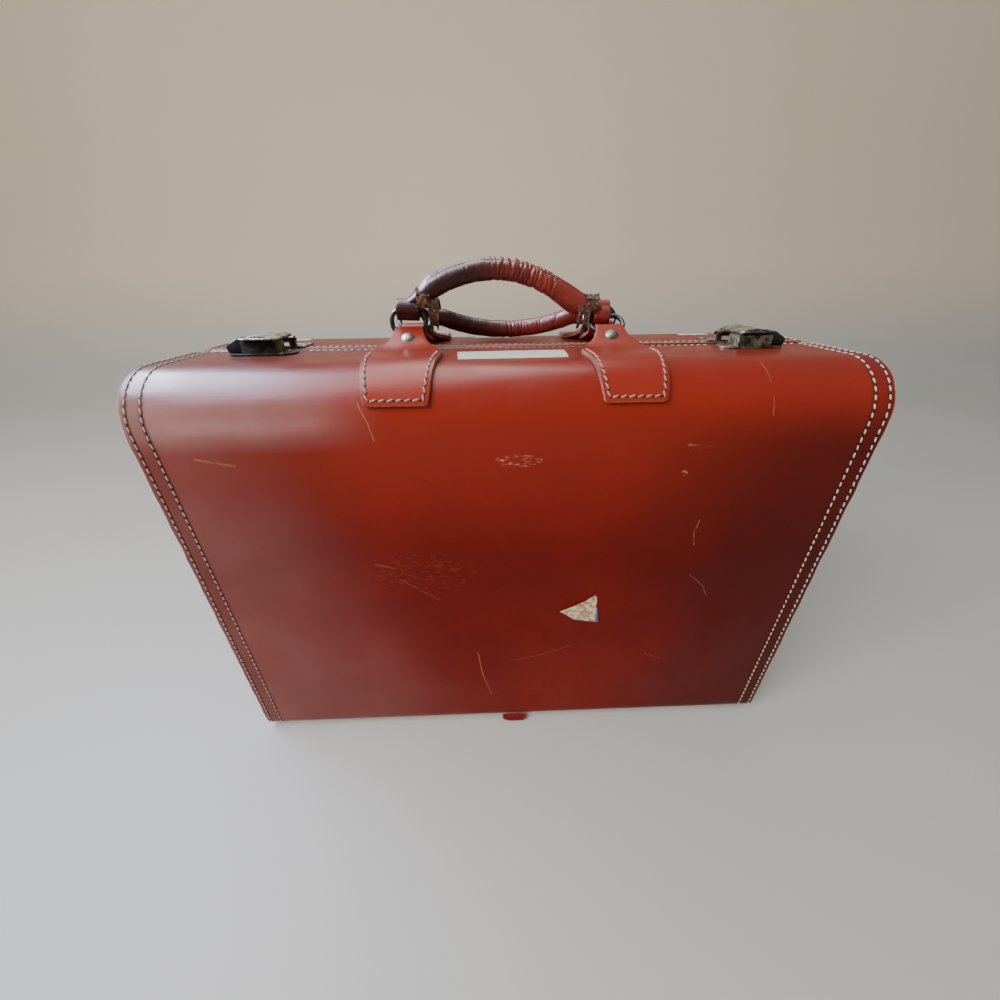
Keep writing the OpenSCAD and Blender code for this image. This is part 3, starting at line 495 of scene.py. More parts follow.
# %% Draw sheets row by row
def draw_sheet(name, rows, columns, outward):
    """A strip of sheet: each row gives its middle x, y, z and half its width, in mm."""
    x, y, z, half = rows[0]
    bpy.ops.mesh.primitive_plane_add(size=2 * half * MM, location=(x * MM, (y + half) * MM, z * MM))
    piece = begin(name)
    pick("VERT", lambda at: at.y > y + half)
    bpy.ops.mesh.delete(type="VERT")
    pick_all()
    bpy.ops.mesh.subdivide(number_cuts=columns - 1)
    for old, new in zip(rows, rows[1:]):
        pull((new[0] - old[0], new[1] - old[1], new[2] - old[2]))
        middle = Vector(new[:3]) * MM
        bpy.ops.transform.resize(value=(new[3] / old[3], 1, 1), center_override=middle)
    pick_all()
    close()
    if piece.data.polygons[0].normal.dot(Vector(outward)) < 0:
        bpy.ops.object.mode_set(mode="EDIT")
        bpy.ops.mesh.flip_normals()
        close()
    return piece


def finish_with(piece, kind, **settings):
    """Add a modifier and apply it."""
    take(piece)
    modifier = piece.modifiers.new(kind.lower(), kind)
    for key, value in settings.items():
        setattr(modifier, key, value)
    bpy.ops.object.modifier_apply(modifier=modifier.name)


def thicken(piece, thickness, **more):
    """Give a sheet its thickness in mm, inwards."""
    finish_with(piece, "SOLIDIFY", thickness=thickness * MM, offset=-1, **more)


def round_edges(piece, width, segments, degrees, **more):
    """Bevel the edges that turn by more than so many degrees, by a width in mm."""
    finish_with(
        piece, "BEVEL", width=width * MM, segments=segments, limit_method="ANGLE",
        angle_limit=math.radians(degrees), **more,
    )


def mould(piece, move):
    """Push single points as with a sculpting brush: move takes and gives a place in mm."""
    for vertex in piece.data.vertices:
        vertex.co = Vector(move(vertex.co / MM)) * MM
    piece.data.update()


def smooth(piece, degrees=40):
    take(piece)
    bpy.ops.object.shade_smooth_by_angle(angle=math.radians(degrees))


HALVES = (("front", 1), ("rear", -1))
HANDS = (("left", -1), ("right", 1))


def join(pieces, name):
    """Make one object of several."""
    take(*pieces)
    bpy.ops.object.join()
    pieces[0].name = name
    return pieces[0]


def settle(piece, body, slot, *nodes):
    """Let a finished piece move with its body and stand for CAD nodes."""
    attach(piece, body)
    if nodes:
        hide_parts(*nodes)
    print(piece.name, "on", body, "with", len(piece.data.polygons), "faces")


print("Modelling helpers ready")

# %% Draw the side view
HALF_W = 254
HALF_D = 98
BASE_Z = 3
TOP_Z = 358
ROLL_R = 38
FOOT_R = 10
ROLL_Y = -HALF_D + ROLL_R
ROLL_Z = TOP_Z - ROLL_R
PANEL_EDGE = 7.6


def side_view(top_steps=6, roll_steps=20, face_steps=76, foot_steps=6, base_steps=6):
    """The front half from seam to seam: y and z in mm, and the way the surface faces there."""
    foot_y = -HALF_D + FOOT_R
    foot_z = BASE_Z + FOOT_R
    points = []
    for k in range(top_steps):
        points.append((-PANEL_EDGE + (ROLL_Y + PANEL_EDGE) * k / top_steps, TOP_Z, 0, 1))
    for k in range(roll_steps + 1):
        a = math.pi / 2 * (1 - k / roll_steps)
        face_y, face_z = -math.cos(a), math.sin(a)
        points.append((ROLL_Y + ROLL_R * face_y, ROLL_Z + ROLL_R * face_z, face_y, face_z))
    for k in range(1, face_steps + 1):
        points.append((-HALF_D, ROLL_Z + (foot_z - ROLL_Z) * k / face_steps, -1, 0))
    for k in range(1, foot_steps + 1):
        a = -math.pi / 2 * k / foot_steps
        face_y, face_z = -math.cos(a), math.sin(a)
        points.append((foot_y + FOOT_R * face_y, foot_z + FOOT_R * face_z, face_y, face_z))
    for k in range(1, base_steps + 1):
        points.append((foot_y + (-PANEL_EDGE - foot_y) * k / base_steps, BASE_Z, 0, -1))
    return points


print("Side view has", len(side_view()), "points")

# %% Wrap the panels
HIDE_T = 3
PANEL_COLUMNS = 64
STILL_SIDE = 20
STILL_ROLL = 338
STILL_FOOT = 14
LOOSE_OVER = 45
LOOSE_OVER_FOOT = 50
WAVE_DEPTH = 4
WANDER = 0.9
WANDER_SIZE = 16
TRIM = 0.4
ROLL_FOLDS = ((-236, -100, 338, 0.9, 4.5), (-236, -92, 321.5, 2.6, 5.5))
FOLD_RISE = 25
FOLD_FALL = 45
FOLD_WANDER = 3
FOLD_WAVE = 60


def clip(value):
    return min(1.0, max(0.0, value))


def looseness(at):
    """How far the hide may wave: not at its sewn edges, nor under tabs and locks."""
    from_side = clip((HALF_W - abs(at.x) - STILL_SIDE) / LOOSE_OVER)
    from_top = clip((STILL_ROLL - at.z) / LOOSE_OVER)
    from_base = clip((at.z - STILL_FOOT) / LOOSE_OVER_FOOT)
    return from_side * from_top * from_base


waves = bpy.data.textures.new("hide_waves", "CLOUDS")
waves.noise_scale = 0.13
waves.noise_depth = 1


def ragged(at):
    """The cut sides of the strap wander a little."""
    if abs(at.x) < HALF_W - 0.5:
        return at
    wander = WANDER * noise.noise(Vector((at.x, at.y, at.z)) / WANDER_SIZE)
    return (at.x + math.copysign(wander - TRIM, at.x), at.y, at.z)


def buckle(at):
    """Long shallow folds on the roll, where the hide has buckled: ends, height, depth and width of each."""
    swell = 0
    for left, right, height, depth, width in ROLL_FOLDS:
        fade = clip((at.x - left) / FOLD_RISE) * clip((right - at.x) / FOLD_FALL)
        drift = FOLD_WANDER * noise.noise(Vector((at.x / FOLD_WAVE, height, 0)))
        off = (at.z - height - drift) / width
        swell += depth * fade * math.exp(-off * off)
    return (at.x, at.y - swell, at.z) if at.y < -HALF_D / 2 else at


def wrap_panel(name, side, hide):
    rows = [(0, y * side, z, HALF_W) for y, z, _, _ in side_view()]
    panel = draw_sheet(name, rows, PANEL_COLUMNS, (0, 0, 1))
    if side > 0:
        mould(panel, buckle)
    loose = panel.vertex_groups.new(name="loose")
    for vertex in panel.data.vertices:
        loose.add([vertex.index], looseness(vertex.co / MM), "REPLACE")
    mould(panel, ragged)
    finish_with(
        panel, "DISPLACE", texture=waves, texture_coords="LOCAL", strength=WAVE_DEPTH * MM,
        vertex_group="loose",
    )
    panel.data.materials.append(hide)
    panel.data.materials.append(raw_edge)
    thicken(panel, HIDE_T, material_offset_rim=1)
    round_edges(panel, 0.9, 2, 60, material=1)
    smooth(panel)
    return panel


for (half, side), hide in zip(HALVES, (front_hide, rear_hide)):
    settle(wrap_panel(f"{half}_wrap", side, hide), f"{half}_half", "red_leather", f"{half}_panel")

# %% [markdown]
# ## The end walls
# The narrow ends are flat pieces of the same hide, set back a little between the sewn edges of the
# panels. A plane with two rounded corners is enough: bevelling single vertices gives true arcs, two
# insets with a little depth swell the middle, and Solidify adds the thickness.

# %% Cut the end walls
WALL_X = 252.5
WALL_IN = 3.1
WALL_T = 2.6


def cut_end(name, side, end):
    """side is 1 for the front half and -1 for the rear, end is the sign of x."""
    outer_y = HALF_D - WALL_IN
    low = BASE_Z + WALL_IN
    high = TOP_Z - WALL_IN
    bpy.ops.mesh.primitive_plane_add(
        size=1,
        location=(end * WALL_X * MM, -side * (outer_y + PANEL_EDGE) / 2 * MM, (low + high) / 2 * MM),
        rotation=(0, end * math.pi / 2, 0),
    )
    wall = begin(name, (high - low, outer_y - PANEL_EDGE, 1))
    pick("VERT", lambda at: abs(at.y) > outer_y - 1 and at.z > high - 1)
    bpy.ops.mesh.bevel(offset=(ROLL_R - WALL_IN) * MM, segments=12, affect="VERTICES")
    pick("VERT", lambda at: abs(at.y) > outer_y - 1 and at.z < low + 1)
    bpy.ops.mesh.bevel(offset=(FOOT_R - WALL_IN) * MM, segments=5, affect="VERTICES")
    bpy.ops.mesh.select_mode(type="FACE")
    pick_all()
    bpy.ops.mesh.inset(thickness=2.2 * MM, depth=0.3 * MM)
    bpy.ops.mesh.inset(thickness=3.2 * MM, depth=0.2 * MM)
    close()
    wall.data.materials.append(trim_hide)
    thicken(wall, WALL_T)
    smooth(wall, 30)
    return wall


for half, side in HALVES:
    for hand, end in HANDS:
        wall = cut_end(f"{half}_wall_{hand}", side, end)
        settle(wall, f"{half}_half", "red_leather", f"{half}_end_{hand}")

# %% [markdown]
# ## The rims
# Where the halves meet, each has a welt: leather drawn round the steel frame and sewn down, so it stands
# as a rounded bead along the seam. A plane is bevelled at its corners and inset into a ring, the middle
# is thrown away, Solidify gives the depth and a wide Bevel rounds it into a bead. Cutting the long sides
# into short pieces first lets the bead wander slightly, as old welts do.

# %% Sew the rims
RIM_NEAR = 0.5
RIM_DEPTH = 7
RIM_HEIGHT = 9
RIM_CORNER = 9.5

bead_waves = bpy.data.textures.new("bead_waves", "CLOUDS")
bead_waves.noise_scale = 0.03


def sew_rim(name, side):
    bpy.ops.mesh.primitive_plane_add(
        size=1,
        location=(0, -side * (RIM_NEAR + RIM_DEPTH / 2) * MM, (BASE_Z + TOP_Z) / 2 * MM),
        rotation=(math.pi / 2, 0, 0),
    )
    rim = begin(name, (2 * WALL_X, TOP_Z - BASE_Z, 1))
    pick_all()
    bpy.ops.mesh.bevel(offset=RIM_CORNER * MM, segments=8, affect="VERTICES")
    bpy.ops.mesh.select_mode(type="FACE")
    pick_all()
    bpy.ops.mesh.inset(thickness=RIM_HEIGHT * MM)
    bpy.ops.mesh.delete(type="FACE")
    pick("EDGE", lambda at: abs(at.x) < 1)
    bpy.ops.mesh.subdivide(number_cuts=70)
    pick("EDGE", lambda at: abs(at.z - (BASE_Z + TOP_Z) / 2) < 1)
    bpy.ops.mesh.subdivide(number_cuts=50)
    close()
    rim.data.materials.append(rim_hide)
    finish_with(rim, "SOLIDIFY", thickness=RIM_DEPTH * MM, offset=0)
    round_edges(rim, 3.2, 4, 60)
    finish_with(rim, "DISPLACE", texture=bead_waves, texture_coords="LOCAL", strength=0.5 * MM)
    smooth(rim, 60)
    return rim


for half, side in HALVES:
    settle(sew_rim(f"{half}_welt", side), f"{half}_half", "dark_leather", f"{half}_rim")

# %% [markdown]
# ## The lining
# Inside, each half is papered with a cloth-covered tray. A cube with one side removed is the tray, and
# bevelling its long edges gives the same two rolls as outside. The weave is two crossing wave textures
# in the finish, which is far lighter than modelled threads.

# %% Fit the linings
LINING_X = 247.8
LINING_IN = 4.7
LINING_T = 1

cloth = Finish("lining_weave")
threads = []
for letter in ("X", "Z"):
    look = {"Vector": cloth.place, "Scale": 160, "Distortion": 0.6}
    threads.append(cloth.node("ShaderNodeTexWave", look, bands_direction=letter).outputs["Fac"])
weave = cloth.times(threads[0], threads[1])
stain = cloth.noise(70, detail=5, rough=0.6)
cloth_tone = cloth.mix(weave, tint(150, 122, 92), tint(190, 164, 130))
cloth_tone = cloth.stain(stain, 0.45, 0.7, cloth_tone, tint(134, 98, 66), 0.55)
lining_cloth = cloth.shine(
    Base_Color=cloth_tone, Roughness=0.9, Normal=cloth.bump(weave, 0.25, 0.6), Sheen_Weight=0.2
)


def fit_lining(name, side):
    near = PANEL_EDGE
    far = HALF_D - LINING_IN
    low = BASE_Z + LINING_IN
    high = TOP_Z - LINING_IN
    bpy.ops.mesh.primitive_cube_add(
        size=1,
        location=(0, -side * (near + far) / 2 * MM, (low + high) / 2 * MM),
    )
    tray = begin(name, (2 * LINING_X, far - near, high - low))
    pick("FACE", lambda at: abs(at.y) < near + 1)
    bpy.ops.mesh.delete(type="FACE")
    pick("EDGE", lambda at: abs(at.y) > far - 1 and at.z > high - 1)
    bpy.ops.mesh.bevel(offset=(ROLL_R - LINING_IN) * MM, segments=12)
    pick("EDGE", lambda at: abs(at.y) > far - 1 and at.z < low + 1)
    bpy.ops.mesh.bevel(offset=(FOOT_R - LINING_IN) * MM, segments=4)
    pick("EDGE", lambda at: abs(at.x) > LINING_X - 0.1 and abs(at.y) > near + 0.1)
    bpy.ops.mesh.bevel(offset=3 * MM, segments=3)
    close()
    tray.data.materials.append(lining_cloth)
    thicken(tray, LINING_T)
    smooth(tray)
    return tray


for half, side in HALVES:
    settle(fit_lining(f"{half}_tray", side), f"{half}_half", "lining_cloth", f"{half}_lining")

# %% [markdown]
# ## The handle tabs
# Four straps of thick hide are sewn over the roll, narrow to a neck, go round the wire ring and come back
# underneath. This is the same row by row drawing as for the panels: the rows follow the strap's side
# view, and the width changes from row to row, which gives rounded lower corners and hollow shoulders.

# %% Cut the tabs
TAB_X = 78
STRAP_R = 41.5
STRAP_T = 3.3
TAB_COLUMNS = 12
LOOP_Y = -14
LOOP_Z = 370
LOOP_R = 5.2
LOOP_SHARE = 0.74
LOOP_ZONE = 20
TAB_LOW = 24.2
TAB_LOW_HALF = 20.5
TAB_TOP_HALF = 26.5
LOWER_CORNER = ((24.2, 18.2), (24.5, 19.3), (25.2, 20.1), (26.4, 20.6), (29.0, 20.8))
SHOULDER = (
    (-54, 26.3), (-49, 26.6), (-45, 26.6), (-43, 26.4), (-41, 26.0), (-39, 25.2), (-37, 23.9), (-35, 22.0),
    (-33, 19.8), (-31, 17.6), (-29, 15.7), (-27, 14.2), (-25, 13.0), (-22.5, 12.0), (-19.5, 11.2),
    (-16.9, 10.6),
)
NECK_SLOPE = 0.67
BLEND_FROM = -44
BLEND_TO = -28
LOOP_HALF = 10.2
UNDER = ((-18, 363.1, 10.6), (-22, 361.7, 11.2), (-26, 360.2, 11.8), (-31, 358.6, 12.5))


def over_roll(degrees):
    """A place on the strap over the roll, y and z in mm, by its angle from level."""
    a = math.radians(degrees)
    return ROLL_Y - STRAP_R * math.cos(a), ROLL_Z + STRAP_R * math.sin(a)


def tab_rows():
    """y, z and half width from the lower edge to the end of the lower layer."""
    rows = [(*over_roll(a), half) for a, half in LOWER_CORNER]
    for a in range(34, 91, 4):
        share = (a - TAB_LOW) / (90 - TAB_LOW)
        rows.append((*over_roll(a), TAB_LOW_HALF + 0.3 + (TAB_TOP_HALF - TAB_LOW_HALF - 0.8) * share))
    top = ROLL_Z + STRAP_R
    for y, half in SHOULDER:
        run = min(max(y - BLEND_FROM, 0), BLEND_TO - BLEND_FROM)
        lift = run * run / (2 * (BLEND_TO - BLEND_FROM)) + max(y - BLEND_TO, 0)
        rows.append((y, top + lift * NECK_SLOPE, half))
    for a in range(108, -71, -12):
        turn = math.radians(a)
        rows.append((LOOP_Y + LOOP_R * math.cos(turn), LOOP_Z + LOOP_R * math.sin(turn), LOOP_HALF))
    rows += UNDER
    return rows


def cut_tab(name, side, x):
    rows = [(x, y * side, z, half) for y, z, half in tab_rows()]
    tab = draw_sheet(name, rows, TAB_COLUMNS, (0, -side, 0.4))
    strap = tab.vertex_groups.new(name="strap")
    for vertex in tab.data.vertices:
        share = LOOP_SHARE if abs(vertex.co.y) < LOOP_ZONE * MM else 1.0
        strap.add([vertex.index], share, "REPLACE")
    tab.data.materials.append(tab_hide)
    tab.data.materials.append(tab_edge)
    thicken(tab, STRAP_T, vertex_group="strap", material_offset_rim=1)
    round_edges(tab, 1.0, 3, 50, material=1)
    smooth(tab, 50)
    return tab


for half, side in HALVES:
    for hand, end in HANDS:
        tab = cut_tab(f"{half}_strap_{hand}", side, end * TAB_X)
        settle(tab, f"{half}_half", "red_leather", f"{half}_tab_{hand}")

# %% [markdown]
# ## The stitching
# Waxed linen thread, two rows down each side of a panel, one along the seam and one round each tab. A
# texture would stay flat, so one small bead of thread is modelled, and a flat dark one between each two,
# painted shade for the awl holes. Both are copied along the line, each copy with its own mesh, and joined
# into one object for each run. The beads have few faces, because there are hundreds.

# %% Model one stitch
flax = Finish("linen_thread")
ply = flax.noise(0.5, detail=2)
grime = flax.noise(24, detail=4)
thread_tone = flax.stain(ply, 0.3, 0.7, tint(208, 176, 150), tint(240, 220, 198))
thread_tone = flax.stain(grime, 0.5, 0.75, thread_tone, tint(184, 126, 96), 0.6)
# The thread turns greyer and darker towards the left end.
greyer_to_left = flax.ramp(flax.axis("X"), -0.12, -0.24, 0.0, 0.4)
thread_tone = flax.mix(greyer_to_left, thread_tone, tint(150, 112, 100))
tanned = flax.ramp(flax.sum("ABSOLUTE", flax.axis("X")), 0.108, 0.116, 0.8, 0.0)
thread_tone = flax.mix(tanned, thread_tone, tint(172, 98, 70))
linen_thread = flax.shine(Base_Color=thread_tone, Roughness=0.75, Normal=flax.bump(ply, 0.2, 0.7))

# Painted shade: a flat dark bead stands for the darkness inside each awl hole.
pit = Finish("awl_hole_shade")
hole_shade_tone = pit.mix(pit.noise(0.8), tint(26, 8, 6), tint(52, 16, 11))
awl_hole_shade = pit.shine(Base_Color=hole_shade_tone, Roughness=0.9)

STITCH_HALF = 1.75
THREAD_R = 0.6
HOLE_HALF = 0.95


def model_bead(name, size, finish):
    """A small bead of few faces: a round-ended dash of thread, or the shadow of a hole."""
    bpy.ops.mesh.primitive_uv_sphere_add(segments=6, ring_count=6, radius=1, rotation=(0, math.pi / 2, 0))
    bead = begin(name)
    pick_all()
    bpy.ops.transform.resize(value=Vector(size) * MM, center_override=(0, 0, 0))
    pick("VERT", lambda at: 0.1 < abs(at.x) < size[0] - 0.1)
    bpy.ops.transform.resize(value=(1.2, 1.1, 1.1), center_override=(0, 0, 0))
    close()
    bpy.ops.object.shade_smooth()
    bead.data.materials.append(finish)
    return bead


stitch = model_bead("stitch", (STITCH_HALF, THREAD_R, THREAD_R), linen_thread)
hole = model_bead("hole", (HOLE_HALF, 0.7, 0.22), awl_hole_shade)
print("One stitch has", len(stitch.data.polygons), "faces")

# %% Sew along a line
def walk(line, pitch, first):
    """Evenly spaced stops along a line of (place, facing) pairs in mm: place, heading and facing."""
    stops = []
    spare = pitch * first
    for (here, up_here), (there, up_there) in zip(line, line[1:]):
        here = Vector(here)
        run = Vector(there) - here
        length = run.length
        while spare < length:
            share = spare / length
            facing_here = Vector(up_here).lerp(Vector(up_there), share).normalized()
            stops.append((here + run * share, run.normalized(), facing_here))
            spare += pitch
        spare -= length
    return stops


def put_bead(bead, name, stop, lift, slant, size):
    """A copy of a bead at a stop, with a mesh of its own."""
    place, heading, up = stop
    across = up.cross(heading).normalized()
    heading = (heading + across * slant).normalized()
    across = up.cross(heading).normalized()
    up = heading.cross(across)
    turn = Matrix((heading, across, up)).transposed().to_4x4()
    mesh = bead.data.copy()
    mesh.transform(Matrix.Translation((place + up * lift) * MM) @ turn @ Matrix.Scale(size, 4))
    copy = bpy.data.objects.new(name, mesh)
    bpy.context.collection.objects.link(copy)
    return copy


def sew(name, lines, pitch, lift=0.25, size=1.0, slant=0.12, seed=1):
    """One object with a stitch at every stop of every line and a hole between each two."""
    dice = random.Random(seed)
    made = []
    for line in lines:
        for stop in walk(line, pitch, 0.5):
            tilt = slant + dice.uniform(-0.07, 0.07)
            made.append(put_bead(stitch, name, stop, lift, tilt, size * dice.uniform(0.94, 1.04)))
        for stop in walk(line, pitch, 1.0):
            made.append(put_bead(hole, name, stop, 0, 0, size))
    return join(made, name)


print("Sewing helpers ready")

# %% Sew the sides and the seam
SIDE_PITCH = 5.8
SEAM_PITCH = 5.4
SEAM_ROW = 10.6
SEAM_END = 236
SEAM_LOW = 16
SEAM_HIGH = 346
BASE_ROW_END = 70
LOCK_X = 190
LOCK_CLEAR = 29
HASP_CLEAR = 21


def side_lines(side):
    """Both rows down both sides of one panel."""
    lines = []
    for end in (-1, 1):
        for row in STITCH_ROWS:
            line = []
            for y, z, face_y, face_z in side_view():
                if z > BASE_Z + 0.5 or abs(y) > BASE_ROW_END:
                    line.append(((end * row, y * side, z), (0, face_y * side, face_z)))
            lines.append(line)
    return lines


def seam_lines(side, stop):
    """Along the top of one half, clear of the metalwork, and down its ends."""
    y = -side * SEAM_ROW
    lines = []
    between_locks = (-LOCK_X + stop, LOCK_X - stop)
    for x0, x1 in ((-SEAM_END, -LOCK_X - stop), between_locks, (LOCK_X + stop, SEAM_END)):
        lines.append((((x0, y, TOP_Z), (0, 0, 1)), ((x1, y, TOP_Z), (0, 0, 1))))
    for end in (-1, 1):
        lines.append([((end * WALL_X, y, z), (end, 0, 0)) for z in (SEAM_HIGH, SEAM_LOW)])
    return lines


for half, side, stop in (("front", 1, LOCK_CLEAR), ("rear", -1, HASP_CLEAR)):
    rows = sew(f"{half}_side_stitches", side_lines(side), SIDE_PITCH, seed=2 + side)
    settle(rows, f"{half}_half", "red_leather")
    seam = sew(f"{half}_seam_stitches", seam_lines(side, stop), SEAM_PITCH, size=0.85, seed=5 + side)
    settle(seam, f"{half}_half", "red_leather")

# %% Sew round the tabs
TAB_STITCH_IN = 3.0
TAB_PITCH = 5.5
LOW_ROW_IN = 3.6
SHOULDER_ROW_END = -44.5


def tab_line(side, x):
    """Down one side of a tab, along its lower edge and up the other."""
    left = []
    lowest = over_roll(TAB_LOW + LOW_ROW_IN)[1]
    for y, z, half in tab_rows():
        if y > SHOULDER_ROW_END:
            break
        if y < ROLL_Y and z < lowest:
            continue
        facing_y = min(0, y - ROLL_Y) / STRAP_R
        facing_z = math.sqrt(1 - facing_y * facing_y)
        left.append((half - TAB_STITCH_IN, y * side, z, facing_y * side, facing_z))
    line = [((x - half, y, z), (0, fy, fz)) for half, y, z, fy, fz in reversed(left)]
    line += [((x + half, y, z), (0, fy, fz)) for half, y, z, fy, fz in left]
    return line


for half, side in HALVES:
    lines = [tab_line(side, end * TAB_X) for end in (-1, 1)]
    run = sew(f"{half}_tab_stitches", lines, TAB_PITCH, size=1.22, slant=0.34, seed=8 + side)
    settle(run, f"{half}_half", "red_leather")

# %% [markdown]
# ## The grips
# Each handle is hide sewn round a rope, with the seam standing up as a ridge along its back. A circle with
# three of its points pulled out is the section, and Spin sweeps it along the arch. Years of carrying have
# pressed folds into the hide, deep on the right and shallow on the left: each is a soft dent round the
# tube, a little slanted, pressed in point by point.

# %% Mix the grip leather
worn = Finish("grip_hide")
blotch = worn.noise(16, detail=5, rough=0.6)
sheen_side = worn.ramp(worn.axis("X"), -0.035, 0.035)
grip_tone = worn.mix(sheen_side, tint(54, 20, 15), tint(140, 50, 38))
grip_tone = worn.stain(blotch, 0.5, 0.72, grip_tone, tint(36, 14, 12), 0.5)
rubbed = worn.noise(2.4, detail=4, stretch=(2.5, 1, 1))
grip_tone = worn.stain(rubbed, 0.6, 0.75, grip_tone, tint(170, 100, 80), 0.22)
grip_relief = worn.bump(worn.cells(0.9), 0.1, 0.35)
grip_relief = worn.bump(worn.noise(2.6, detail=4, stretch=(2.4, 1, 1)), 0.45, 0.45, grip_relief)
grip_hide = worn.shine(
    Base_Color=grip_tone, Roughness=worn.ramp(blotch, 0.3, 0.7, 0.36, 0.48), Normal=grip_relief,
    Coat_Weight=0.1, Coat_Roughness=0.2, Specular_IOR_Level=0.3,
)
print("Grip leather:", grip_hide.name)

# %% Bend the grips
ARC_R = 94
ARC_DROP = -65
ARC_HALF = math.radians(32.13)
GRIP_R = 7.2
RIDGE = 1.5
DENT_MOST = 1.2


def on_arc(x, z):
    """The angle along the arch, and the middle of the tube there, of a place beside it."""
    angle = math.atan2(x, z - ARC_DROP)
    return angle, Vector((ARC_R * math.sin(angle), 0, ARC_DROP + ARC_R * math.cos(angle)))


def make_folds(seed, left_count, right_count):
    """Folds in the hide: place along the arch in mm, width, depth, slant, side, and reach round the tube."""
    dice = random.Random(seed)
    folds = []
    for count, low, high, deep in ((left_count, -50, -4, 0.16), (right_count, -6, 51, 0.5)):
        for _ in range(count):
            folds.append((
                dice.uniform(low, high), dice.uniform(0.5, 0.95), deep * dice.uniform(0.5, 1.0),
                dice.uniform(-2.4, 2.4), dice.uniform(-math.pi, math.pi), dice.uniform(0.7, 1.6),
            ))
    return folds


def bend_grip(name, folds):
    """One grip about its ring bar's axis, which is the origin."""
    out = Vector((-math.sin(ARC_HALF), 0, math.cos(ARC_HALF)))
    start = Vector((0, 0, ARC_DROP)) + out * ARC_R
    bpy.ops.mesh.primitive_circle_add(
        vertices=40, radius=GRIP_R * MM, location=start * MM, rotation=(0, math.pi / 2 - ARC_HALF, 0)
    )
    grip = begin(name)
    pick("VERT", lambda at: (at - start).dot(out) > GRIP_R * math.cos(math.radians(12)))
    bpy.ops.transform.translate(value=out * RIDGE * MM)
    pick_all()
    bpy.ops.mesh.spin(steps=240, angle=-2 * ARC_HALF, center=(0, 0, ARC_DROP * MM), axis=(0, 1, 0))
    pick_all()
    bpy.ops.mesh.remove_doubles(threshold=0.01 * MM)
    bpy.ops.mesh.fill_holes(sides=0)
    bpy.ops.mesh.normals_make_consistent(inside=False)
    close()

    def press(at):
        angle, middle = on_arc(at.x, at.z)
        off = at - middle
        along = ARC_R * angle
        height = off.dot(Vector((math.sin(angle), 0, math.cos(angle))))
        turn = math.atan2(height, off.y)
        dent = 0.25 * noise.noise(Vector((along, off.y, height)) / 7)
        for place, width, deep, slant, side, reach in folds:
            round_by = (turn - side + math.pi) % (2 * math.pi) - math.pi
            if abs(round_by) > 2 * reach:
                continue
            off_line = (along - place - slant * round_by) / width
            if abs(off_line) < 3:
                dent += deep * math.exp(-off_line * off_line - (round_by / reach) ** 2)
        return middle + off * (1 - min(dent, DENT_MOST) / GRIP_R)

    mould(grip, press)
    grip.data.materials.append(grip_hide)
    smooth(grip, 60)
    return grip


print("Grip helpers ready")

# %% Hang the grips
GRIP_SLIDE = 10
RING_REACH = 17
RIGHT_LEAN = math.radians(55)
REAR_FALL = math.radians(-129)
REAR_PLACE = Vector((0, 22.5, 384.722))

lean_back = RING_REACH * math.sin(RIGHT_LEAN)
lean_drop = RING_REACH * (1 - math.cos(RIGHT_LEAN))
yaw = math.atan2(lean_back, 2 * TAB_X)
dip = math.atan2(lean_drop, math.hypot(2 * TAB_X, lean_back))
front_place = Vector((0, LOOP_Y + lean_back / 2, LOOP_Z + RING_REACH - lean_drop / 2))
FRONT_BAR = (
    Matrix.Translation(front_place * MM) @ Matrix.Rotation(yaw, 4, "Z") @ Matrix.Rotation(dip, 4, "Y")
)
REAR_BAR = Matrix.Translation(REAR_PLACE * MM) @ Matrix.Rotation(REAR_FALL, 4, "X")
SLID = Matrix.Translation((-GRIP_SLIDE * MM, 0, 0))
HANDLES = (
    ("front", FRONT_BAR @ SLID, make_folds(11, 30, 120)),
    ("rear", REAR_BAR, make_folds(12, 40, 60)),
)

for half, place, folds in HANDLES:
    grip = bend_grip(f"{half}_hand_grip", folds)
    grip.data.transform(place)
    settle(grip, f"{half}_handle", "dark_leather", f"{half}_grip")

# %% Sew the ridges
RIDGE_PITCH = 3.6
RIDGE_STEPS = 20
RIDGE_REACH = 0.94
RIDGE_FLANK = 2.8
RIDGE_SINK = 0.5
FLANK_TILT = 0.4


def ridge_lines(frame_of_grip):
    """Along both flanks of a grip's ridge."""
    lines = []
    turn = frame_of_grip.to_3x3()
    for flank in (-1, 1):
        line = []
        for k in range(-RIDGE_STEPS, RIDGE_STEPS + 1):
            angle = ARC_HALF * RIDGE_REACH * k / RIDGE_STEPS
            out = Vector((math.sin(angle), 0, math.cos(angle)))
            place = Vector((0, flank * RIDGE_FLANK, ARC_DROP)) + out * (ARC_R + GRIP_R - RIDGE_SINK)
            facing = turn @ (Vector((0, flank * FLANK_TILT, 0)) + out)
            line.append((frame_of_grip @ (place * MM) / MM, facing))
        lines.append(line)
    return lines


for half, place, _ in HANDLES:
    run = sew(f"{half}_ridge_stitches", ridge_lines(place), RIDGE_PITCH, lift=0.05, size=0.6, seed=21)
    settle(run, f"{half}_handle", "dark_leather")

# %% [markdown]
# ## The ends of the handles
# At each end the grip's hide is pulled into a neck and rolled round the ring's bar as a stubby barrel.
# On this case the wrap has split, and dry fibres stick out where the two meet. The barrel is a cylinder
# whose ends are inset and bridged into a bore, the neck is a circle extruded in steps, the split wrap is a
# ragged sleeve, and torn strips hang from it. The front grip has slid to the left in its wrap, so its left
# end comes down steeply and its right end in a long slope. These two front ends are put on no body, so
# they stay where they are when that handle swings.

